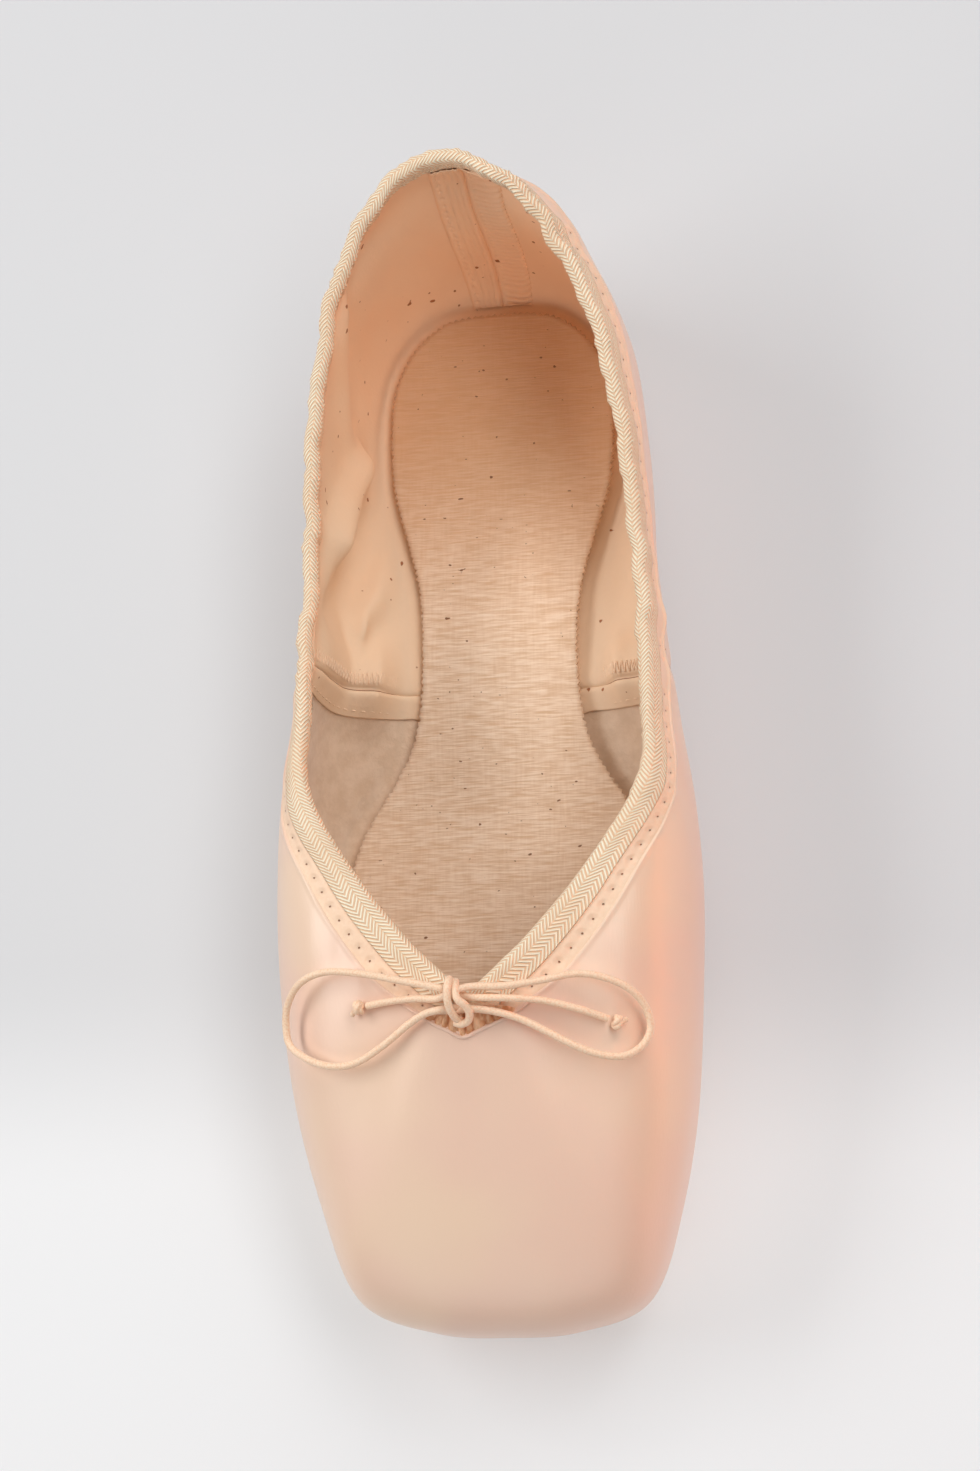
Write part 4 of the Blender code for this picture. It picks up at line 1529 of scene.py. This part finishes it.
@dataclass
class SatinUpper:
    """The satin skin of the upper, from under the casing down and in under the sole."""

    last: Last
    drape: Drape
    thickness: float = 0.5 * MM
    lip: float = 0.42 * MM
    lip_ridge: float = 0.22 * MM
    lip_fade: float = 16 * MM
    under_casing: float = 2 * MM
    flatten: float = 6 * MM
    lower_rows: int = 50
    seam_radius: float = 0.20 * MM
    seam_step: float = 0.8 * MM
    seam_place_row: int = 30
    seam_first: int = 8
    seam_last: int = -6
    edge_rows: tuple[float, ...] = (-7.0, -5.0, -3.0, -1.5, -0.6, -0.25, -0.1, 0.05, 0.25, 0.5,
                                    0.9, 1.5, 2.3, 3.4, 4.6, 6.0, 7.6)

    def build(self) -> None:
        """Builds the satin with its gathers, folds, seams and pleats."""
        last = self.last
        width = last.casing_width()
        edge = width[:, None] + np.array(self.edge_rows)[None, :] * MM
        lower = last.rows(edge[:, -1], last.opening_run, self.lower_rows)
        down = np.concatenate([edge, lower[:, 1:]], axis=1)
        points, normals = last.at(down)
        off = self.drape.gathers(down) + self.drape.folds(down, SATIN_FOLDS)
        off += self.drape.seams(points) * smooth((down - width[:, None]) / self.under_casing)
        off += self.drape.toe_pleats(down)
        off += self.hem(down - width[:, None])
        resting = smooth((last.flat_run[:, None] - down) / self.flatten)
        grid = points + normals * (off * resting)[:, :, None]
        finish_piece(loft("satin_upper", grid, DuchesseSatin().build(), self.thickness), "satin", "upper")
        self.seam_lines(grid)

    def seam_lines(self, grid: Array) -> None:
        """The back seam's and the side seams' lines, where the satin's pieces meet, in painted shade."""
        side = grid[:, self.seam_place_row, 1] - along_to_y(self.drape.seam_along)
        half = len(grid) // 2
        first = int(np.argmin(np.abs(side[:half])))
        second = half + int(np.argmin(np.abs(side[half:])))
        routes = [grid[column, self.seam_first : self.seam_last][::2] for column in (0, first, second)]
        shapes = [sweep(smooth_route(route, self.seam_step), self.seam_radius, 8) for route in routes]
        # The seam lines' darker colours are painted shade of the seams' grooves.
        thread = SewingThread("seam_line_painted_shade", light="e3b896", deep="c79672").build()
        finish_piece(add_mesh("satin_seam_lines", *join_shapes(shapes), thread), "satin")

    def hem(self, past: Array) -> Array:
        """Stand-off of the folded satin edge at distances past the casing's outer edge."""
        step = self.lip * smooth((past + 0.35 * MM) / (0.45 * MM)) * (1.0 - smooth(past / self.lip_fade))
        return step + self.lip_ridge * bell((past - 0.30 * MM) / (0.42 * MM))


@dataclass
class CollarCasing:
    """The casing of the drawstring: a facing on the satin, and the tape folded over the collar."""

    last: Last
    drape: Drape
    facing_top: float = 3.0 * MM
    facing_lap: float = 0.35 * MM
    facing_height: float = 0.22 * MM
    facing_thickness: float = 0.25 * MM
    facing_steps: int = 14
    stitch_row: int = 4
    stitch_depth: float = 0.12 * MM
    stitch_width: float = 0.7 * MM
    tape_width: float = 4.9 * MM
    inner_width: float = 3.4 * MM
    rim_height: float = 0.95 * MM
    edge_height: float = 0.45 * MM
    inner_height: float = 0.75 * MM
    inner_fall: float = 0.25
    tape_thickness: float = 0.4 * MM
    cap_steps: int = 12
    cap_reach: float = 0.82
    side_steps: int = 14
    pucker: float = 0.34 * MM
    inner_pucker: float = 0.8
    pucker_pitch: float = 3.1 * MM
    pucker_waves: int = 5
    first_wave: float = 0.55
    wave_step: float = 0.22
    seed: int = 11

    def build(self) -> None:
        """Builds the facing strip and the tape."""
        self.build_facing()
        self.build_tape()

    @staticmethod
    def periodic(run: Array, pitch: float) -> Array:
        """Lengths along a closed edge, stretched so that a whole number of pitches fits."""
        whole = max(1.0, round(run[-1] / pitch)) * pitch
        return run * (whole / run[-1])

    def build_facing(self) -> None:
        """The satin facing between the tape and the vamp, with its line of stitches."""
        last, finish = self.last, StitchedFacing()
        width = last.casing_width()
        down = last.rows(width + self.facing_lap, np.full_like(width, self.facing_top), self.facing_steps)
        points, normals = last.at(down)
        off = self.facing_height + self.drape.gathers(down)
        stitch = bell((width[:, None] - finish.from_edge - down) / self.stitch_width)
        grid = points + normals * (off - self.stitch_depth * stitch)[:, :, None]
        along = self.periodic(run_round(grid[:, self.stitch_row]), finish.pitch)
        across = np.linspace(-self.facing_lap, TAPE_OUTER_WIDTH - self.facing_top, grid.shape[1])
        made = loft("casing_facing", grid[:, ::-1], finish.build(), self.facing_thickness,
                    cloth=(along, across[::-1]))
        finish_piece(made, "satin")

    def build_tape(self) -> None:
        """The herringbone tape: up the outside, round the rim and down the lining."""
        last, finish = self.last, HerringboneTape()
        outside = np.linspace(self.tape_width, 0.0, self.side_steps + 1)
        inside = np.linspace(0.0, self.inner_width, self.side_steps + 1)
        out_down, in_down = (np.tile(side, (len(last.around), 1)) for side in (outside, inside))
        out_points, out_normals = last.at(out_down)
        in_points, in_normals = last.at(in_down)
        swell = smooth(1.0 - outside / self.tape_width)
        out_height = self.edge_height + (self.rim_height - self.edge_height) * swell
        in_height = self.inner_height * (1.0 - self.inner_fall * smooth(inside / self.inner_width))
        crimp = self.crimp()[:, None]
        out_off = out_height[None, :] + self.drape.gathers(out_down) + crimp * swell[None, :]
        in_off = -QUARTER_WALL - in_height[None, :] + self.drape.gathers(in_down) - self.inner_pucker * crimp
        outer = out_points + out_normals * out_off[:, :, None]
        inner = in_points + in_normals * in_off[:, :, None]
        cap = self.rim_cap(outer[:, -1], inner[:, 0], out_points[:, -1] - out_points[:, -2])
        grid = np.concatenate([outer[:, :-1], cap, inner[:, 1:]], axis=1)
        along = self.periodic(run_round(grid[:, self.side_steps + self.cap_steps // 2]), finish.rib)
        made = loft("collar_casing", grid[:, ::-1], finish.build(), self.tape_thickness,
                    cloth=(along, run_lengths(grid[0])[::-1]))
        finish_piece(made, "tape", "collar_tape")

    def rim_cap(self, start: Array, end: Array, up: Array) -> Array:
        """Half rounds over the rim.

        Args:
            start: The outer side's top, a point for each column.
            end: The inner side's top.
            up: The direction in which the outer side arrives.

        Returns:
            Array of columns, steps and XYZ.
        """
        middle = (start + end) / 2
        half = (start - end) / 2
        up = unit(up - unit(half) * (up * unit(half)).sum(axis=1, keepdims=True))
        reach = np.linalg.norm(half, axis=1)[:, None] * self.cap_reach
        angles = np.linspace(0.0, math.pi, self.cap_steps + 1)
        rounds = [middle + half * math.cos(a) + up * reach * math.sin(a) for a in angles]
        return np.stack(rounds, axis=1)

    def crimp(self) -> Array:
        """Small puckers of the tape alone, closer together than the collar's gathers."""
        draw = np.random.default_rng(self.seed)
        length = self.last.collar_run[-1]
        s = self.last.collar_run[:-1]
        found = np.zeros_like(s)
        for order in range(self.pucker_waves):
            share = self.first_wave + self.wave_step * order
            count = max(1, round(length / self.pucker_pitch * share))
            found += np.sin(2 * math.pi * (count * s / length + draw.uniform())) * draw.uniform(0.6, 1.0)
        return found / 3.0 * self.pucker * self.drape.pull()


@dataclass
class ThroatGathers:
    """The satin gathered round the drawstring, in the gap of the casing under the knot.

    The gap is a flat lens whose corners and point are listed. Its pleats run from the
    knot to the satin's edge.
    """

    last: Last
    edge: tuple[tuple[float, float], ...] = (
        (-0.0092, -0.0596), (-0.0070, -0.0611), (-0.0037, -0.0627), (-0.0007, -0.0641),
        (0.0026, -0.0628), (0.0064, -0.0612), (0.0102, -0.0591),
    )
    hub: tuple[tuple[float, float], ...] = (
        (-0.0070, -0.0584), (-0.0050, -0.0583), (-0.0030, -0.0582), (-0.0008, -0.0581),
        (0.0018, -0.0581), (0.0045, -0.0582), (0.0078, -0.0583),
    )
    lip_ends: tuple[tuple[float, float], tuple[float, float]] = ((-0.0165, -0.0553), (0.0182, -0.0530))
    lip_height: float = 0.55 * MM
    lip_radius: float = 0.42 * MM
    lip_step: float = 0.3 * MM
    thickness: float = 0.2 * MM
    columns: int = 200
    rows: int = 18
    pleats: float = 11.0
    pleat_height: float = 0.80 * MM
    edge_height: float = 0.15 * MM
    hub_height: float = 1.0 * MM

    def build(self) -> None:
        """Builds the pleats as one fan-shaped sheet, and the rolled lip along its edge."""
        places = np.linspace(0.0, 1.0, len(self.edge))
        share = np.linspace(0.0, 1.0, self.columns)
        edge, hub = (along_line(share, places, np.array(line)) for line in (self.edge, self.hub))
        out = np.linspace(0.0, 1.0, self.rows)[None, :]
        plan = hub[:, None, :] + (edge - hub)[:, None, :] * out[:, :, None]
        turn = (share[:, None] + 0.018 * np.sin(23.0 * share[:, None]) + 0.02 * out) * self.pleats
        pleat = np.abs(np.sin(math.pi * turn)) ** 0.7
        height = self.edge_height + self.hub_height * (1.0 - out) ** 1.3
        height = height + self.pleat_height * (pleat - 0.35) * (0.45 + 0.55 * np.sin(math.pi * out * 0.8))
        grid = self.last.lay_on_vamp(plan, height)
        # The gathers' darker, more orange satin is painted shade.
        made = loft("throat_gathers", grid, ShadedGatheredSatin().build(), self.thickness, closed=False)
        finish_piece(made, "satin")
        ends = np.array([self.lip_ends[0], *self.edge, self.lip_ends[1]])
        line = smooth_route(np.column_stack([ends, np.zeros(len(ends))]), self.lip_step)[:, :2]
        rise = self.lip_height * np.sin(np.linspace(0.05, math.pi - 0.05, len(line))) ** 0.5
        laid = self.last.lay_on_vamp(line, rise)
        radii = self.lip_radius * np.sin(np.linspace(0.15, math.pi - 0.15, len(line))) ** 0.6
        made = add_mesh("throat_lip", *sweep(laid, radii, 12), DuchesseSatin("rolled_satin_edge").build())
        finish_piece(made, "satin")


@dataclass
class Lining:
    """The two linings, the back seam's tape and the side seams with their stitches.

    The rows are those of the lining's own grid, from the collar down.
    """

    last: Last
    drape: Drape
    cloth: float = 0.35 * MM
    rows: int = 46
    top: float = 2.2 * MM
    floor_lap: float = 4.0 * MM
    ditch: float = 0.60
    floor_clear: float = 1.0 * MM
    floor_fade: float = 9 * MM
    folds_from: float = 4.0 * MM
    folds_over: float = 6 * MM
    ditch_above: float = 6 * MM
    ditch_over: float = 5 * MM
    trough_room: float = 1.1 * MM
    vamp_sunk: float = 0.12 * MM
    welt_height: float = 1.0 * MM
    welt_reach: float = 9 * MM
    seam_dip: float = 0.4 * MM
    near_seam: tuple[float, ...] = (0.0, 0.1, 0.2, 0.32, 0.46, 0.62, 0.8, 1.0, 1.4, 2.0)
    seam_strip: float = 5.4 * MM
    strip_steps: int = 20
    strip_puff: float = 1.05 * MM
    row_place: float = 4.2 * MM
    row_lift: float = 0.88 * MM
    stitch_pitch: float = 2.2 * MM
    stitch_length: float = 1.5 * MM
    stitch_sink: float = 0.35 * MM
    stitch_radius: float = 0.17 * MM
    zigzag_sides: tuple[float, float] = (1.4 * MM, 3.8 * MM)
    zigzag_pitch: float = 1.3 * MM
    zigzag_lift: float = 1.42 * MM
    zigzag_radius: float = 0.13 * MM
    shaded_thread_lift: float = 0.42 * MM
    shaded_thread_radius: float = 0.24 * MM
    tape_half: float = 7.2 * MM
    tape_thickness: float = 0.25 * MM
    tape_lift: float = 0.55 * MM

    def build(self) -> None:
        """Builds the quarter and vamp linings and what is sewn to them."""
        drill, matted = LiningDrill().build(), MattedLining().build()
        grid, normals = self.inner_face()
        seam = along_to_y(self.drape.seam_along)
        first = int(np.argmin(np.abs(grid[: len(grid) // 2, 0, 1] - seam)))
        last = len(grid) - first
        toe_side = np.arange(first - 1, last + 2)
        vamp = loft("vamp_lining", (grid + normals * self.vamp_sunk)[toe_side], matted, self.cloth,
                    closed=False)
        fine = np.array(self.near_seam)
        end = len(grid) + first
        places = np.concatenate([last + fine, np.arange(last + 3, end - 2), end - fine[::-1]])
        face, facing = self.cut(grid, normals, places)
        welt = self.seam_welt(face, seam)[:, :, None]
        quarter = loft("quarter_lining", face - facing * welt, drill, self.cloth, closed=False)
        for made in (vamp, quarter):
            finish_piece(made, "canvas")
        self.side_strips(grid, normals, (first, last), drill)
        self.back_tape(grid, normals, drill)

    def cut(self, grid: Array, normals: Array, places: Array) -> tuple[Array, Array]:
        """A part of the lining's face and its normals, at fractional columns and on all rows."""
        rows = np.arange(self.rows + 1, dtype=float)
        return on_sheet(grid, places, rows), unit(on_sheet(normals, places, rows))

    def seam_welt(self, grid: Array, seam: float) -> Array:
        """How far the quarter lining puffs up beside the side seams, before it dips into them."""
        away = grid[..., 1] - seam
        dip = 1.0 - np.exp(-np.maximum(away, 0.0) / self.seam_dip)
        return self.welt_height * bell(away / self.welt_reach) * dip

    def inner_face(self) -> tuple[Array, Array]:
        """The lining's face with its folds, and its outward normals."""
        last = self.last
        down = last.rows(np.full(len(last.around), self.top), last.flat_run + self.floor_lap, self.rows)
        points, normals = last.at(down)
        for _ in range(3):
            normals = unit(normals + 0.5 * (np.roll(normals, 2, axis=0) + np.roll(normals, -2, axis=0)))
        flat = last.flat_run[:, None]
        floor = smooth((flat - self.floor_clear - down) / self.floor_fade)
        clear = floor * smooth((down - self.folds_from) / self.folds_over)
        thicker = (last.wall(points) - QUARTER_WALL) * floor * smooth(down / self.floor_fade)
        folds = self.drape.folds(down, LINING_FOLDS) * clear
        room = self.trough_room
        folds = np.where(folds < 0.0, room * (np.exp(np.minimum(folds, 0.0) / room) - 1.0), folds)
        thinner = 1.0 - self.ditch * smooth((down - flat + self.ditch_above) / self.ditch_over)
        off = -(QUARTER_WALL + thicker) * thinner - folds + self.drape.gathers(down) * floor
        return points + normals * off[:, :, None], normals

    def side_strips(self, grid: Array, normals: Array, seams: tuple[int, int],
                    drill: Material) -> None:
        """The seam allowance turned to the toe at each side seam, and its rows of stitches."""
        stitches = []
        for side, name, place in zip((1, -1), ("right", "left"), seams):
            step = float(np.linalg.norm(grid[place, 10] - grid[place + 1, 10])) * side
            share = np.linspace(0.0, 1.0, self.strip_steps + 1)[::side]
            face, facing = self.cut(grid, normals, place + share * self.seam_strip / step)
            puff = self.strip_puff * (1.0 - np.exp(-share / 0.06)) * (1.0 - 0.72 * share)
            strip = face - facing * puff[:, None, None]
            made = loft(f"seam_strip_{name}", strip, drill, self.cloth, closed=False)
            finish_piece(made, "canvas")
            stitches += self.stitch_row(grid, normals, place + self.row_place / step)
            near, far = (place - away / step for away in self.zigzag_sides)
            stitches.append(self.zigzag(grid, normals, near, far))
        made = add_mesh("side_seam_stitches", *join_shapes(stitches), SewingThread().build())
        finish_piece(made, "cord")
        # A dark thread down each side seam: its dark colour is painted shadow under the seam's edge.
        rows = np.linspace(0.0, self.rows - 2.0, 120)
        lines = [down_sheet(grid - normals * self.shaded_thread_lift, place, rows) for place in seams]
        shapes = [sweep(line, self.shaded_thread_radius, 8) for line in lines]
        dark = SewingThread("seam_thread_painted_shade", light="b07c58", deep="84563a").build()
        finish_piece(add_mesh("side_seam_thread_painted_shade", *join_shapes(shapes), dark), "cord")

    def stitch_row(self, grid: Array, normals: Array, place: float) -> list[Shape]:
        """Short threads down a column of the lining, dipping into the cloth at both ends."""
        pitch, bend = self.stitch_pitch, np.linspace(-1.0, 1.0, 7)
        rows = np.linspace(2.0, self.rows - 6.0, 300)
        line = down_sheet(grid, place, rows)
        facing = unit(down_sheet(normals, place, rows))
        run = run_lengths(line)
        lift = (self.row_lift - self.stitch_sink * bend**2)[:, None]
        found = []
        for middle in np.arange(pitch, run[-1] - pitch, pitch):
            path = along_line(middle + bend * self.stitch_length / 2, run, line)
            out = along_line(middle, run, facing)
            found.append(sweep(path - out * lift, self.stitch_radius, 8))
        return found

    def zigzag(self, grid: Array, normals: Array, near: float, far: float) -> Shape:
        """One thread that goes to and fro between two columns of the lining, near and far."""
        rows = np.linspace(3.0, self.rows - 7.0, 400)
        run = run_lengths(down_sheet(grid, near, rows))
        turns = int(run[-1] / self.zigzag_pitch)
        at = np.linspace(0.0, turns * self.zigzag_pitch, turns * 12)
        swing = smooth(np.abs((at / self.zigzag_pitch) % 1.0 * 2.0 - 1.0))
        place = (near + (far - near) * swing, np.interp(at, run, rows))
        path, out = sheet_points(grid, *place), unit(sheet_points(normals, *place))
        return sweep(path - out * self.zigzag_lift, self.zigzag_radius, 6)

    def back_tape(self, grid: Array, normals: Array, drill: Material) -> None:
        """The tape over the back seam inside the heel, ribbed on one side and crimped on the other."""
        step = float(np.linalg.norm(grid[0, 20] - grid[1, 20]))
        reach = self.tape_half / step
        rows = np.linspace(1.0, self.rows - 4.0, 300)
        depth = run_lengths(down_sheet(grid, 0.0, rows))[None, :]
        for name, side in (("ribbed", -1), ("crimped", 1)):
            share = np.linspace(0.02, 1.0, 33)[::side]
            face = on_sheet(grid, side * share * reach, rows)
            facing = unit(on_sheet(normals, side * share * reach, rows))
            x = share[:, None]
            edge = smooth(x / 0.10) * smooth((1.03 - x) / 0.12)
            relief = self.ribs(x, depth) if side < 0 else self.crimps(x, depth)
            strip = face - facing * ((self.tape_lift + relief) * edge)[:, :, None]
            made = loft(f"back_seam_tape_{name}", strip, drill, self.tape_thickness, closed=False)
            finish_piece(made, "canvas")

    def ribs(self, x: Array, depth: Array) -> Array:
        """Relief of the tape's ribbed side at shares x across it and depths down it."""
        ribs = 0.26 * MM * np.abs(np.sin(x * math.pi * 5.0)) ** 0.8 + 0.0 * depth
        wobble = 1.0 + 0.25 * np.sin(depth * 900.0 + 9.0 * x)
        holes = bell((x - 0.80) * self.tape_half / (0.5 * MM))
        beat = np.clip(np.sin(depth * 2 * math.pi / (2.3 * MM)), 0.0, 1.0) ** 3
        return ribs * wobble - 0.5 * MM * holes * beat

    @staticmethod
    def crimps(x: Array, depth: Array) -> Array:
        """Relief of the tape's crimped side at shares x across it and depths down it."""
        phase = depth * 2 * math.pi / (1.7 * MM) + 1.1 * np.sin(x * 7.0) + 0.9 * np.sin(depth * 420.0)
        return 0.30 * MM * np.sin(phase) * smooth((x - 0.12) / 0.2)


@dataclass
class InsoleCanvas:
    """The canvas insole with its pinked edge, laid on the lasting margin."""

    tooth: float = 1.5 * MM
    tooth_depth: float = 0.62 * MM
    margin: float = 1.4 * MM
    proud: float = 0.6 * MM
    rim_curl: float = 0.25 * MM
    rim_lowest: float = -0.1 * MM
    across: int = 26
    seed: int = 3

    def build(self) -> None:
        """Builds the insole as rungs across it and a toothed band round it."""
        plan = Last.plan("insole_side", "insole_along")
        count = 2 * (2 * round(run_round(plan)[-1] / self.tooth / 2))
        even = even_loop(plan, count)
        draw = np.random.default_rng(self.seed)
        teeth = np.where(np.arange(count) % 2 == 0, 0.0, self.tooth_depth)
        teeth = teeth * draw.uniform(0.6, 1.15, count) + draw.uniform(0.0, 0.08, count) * MM
        band = Last.inset(even, self.margin)
        laid = list(band)
        faces = ladder_faces(band, 0, laid, self.across)
        points, start = np.array(laid), len(laid)
        faces += [(j, start + j, start + (j + 1) % count, (j + 1) % count) for j in range(count)]
        top = INSOLE_Z + INSOLE_THICKNESS + self.proud
        curl = self.rim_curl * np.sin(np.arange(count) * 0.11) + draw.uniform(-0.08, 0.08, count) * MM
        rim = Last.lifted(Last.inset(even, teeth), top + np.maximum(curl, self.rim_lowest))
        sheet = Last.lifted(points, top + self.swell(points))
        made = add_mesh("insole_canvas", np.concatenate([sheet, rim]), faces, SlubCanvas().build())
        self.face_up(made)
        thicken(made, INSOLE_THICKNESS)
        finish_piece(made, "canvas", "insole")

    @staticmethod
    def swell(plan: Array) -> Array:
        """Slight unevenness of the canvas where it is pasted down."""
        x, y = plan.T
        return 0.10 * MM * np.sin(x * 130.0 + 1.0) * np.sin(y * 95.0) + 0.05 * MM * np.sin(y * 260.0)

    @staticmethod
    def face_up(made: bpy.types.Object) -> None:
        """Turns a sheet's faces so that they look up."""
        work = bmesh.new()
        work.from_mesh(made.data)
        bmesh.ops.reverse_faces(work, faces=[f for f in work.faces if f.normal.z < 0.0])
        work.to_mesh(made.data)
        work.free()


@dataclass
class Outsole:
    """The leather outsole, with its skived edge and the stitches in their channel underneath."""

    across: int = 18
    count: int = 420
    skive: float = 0.5 * MM

    def build(self) -> None:
        """Builds the outsole from rings and rungs."""
        even = even_loop(Last.sole_plan(), self.count)
        loops = [Last.lifted(Last.inset(even, inset), z) for inset, z in self.rings()]
        points = list(np.concatenate(loops))
        faces: list[tuple[int, ...]] = []
        for k in range(len(loops) - 1):
            for j in range(self.count):
                after = (j + 1) % self.count
                a, b = k * self.count, (k + 1) * self.count
                faces.append((a + after, a + j, b + j, b + after))
        faces += [face[::-1] for face in ladder_faces(loops[0], 0, points, self.across)]
        faces += ladder_faces(loops[-1], (len(loops) - 1) * self.count, points, self.across)
        made = add_mesh("sole_leather", np.array(points), faces, SoleSplit().build())
        finish_piece(made, "leather", "outsole")

    def rings(self) -> tuple[tuple[float, float], ...]:
        """Each ring's distance in from the outline and its height, from the top round to below."""
        return (
            (self.skive * 1.6, SOLE_THICKNESS),
            (self.skive * 0.4, SOLE_THICKNESS - 0.15 * MM),
            (0.0, SOLE_THICKNESS - 0.55 * MM),
            (0.05 * MM, SOLE_THICKNESS * 0.5),
            (0.25 * MM, 0.45 * MM),
            (0.6 * MM, 0.1 * MM),
            (1.0 * MM, 0.0),
            (3.0 * MM, 0.0),
            (3.3 * MM, 0.35 * MM),
            (3.7 * MM, 0.35 * MM),
            (4.0 * MM, 0.0),
        )


def main() -> None:
    """Builds the shoe's looks and the studio round it."""
    logging.basicConfig(level=logging.INFO, format="%(name)s %(message)s")
    studio = Studio()
    studio.set_camera()
    Drawstring().build()
    last = Last()
    drape = Drape(last)
    SatinUpper(last, drape).build()
    CollarCasing(last, drape).build()
    ThroatGathers(last).build()
    Lining(last, drape).build()
    InsoleCanvas().build()
    Outsole().build()
    studio.lay_floor()
    studio.hang_lamps()


if __name__ == "__main__":
    main()
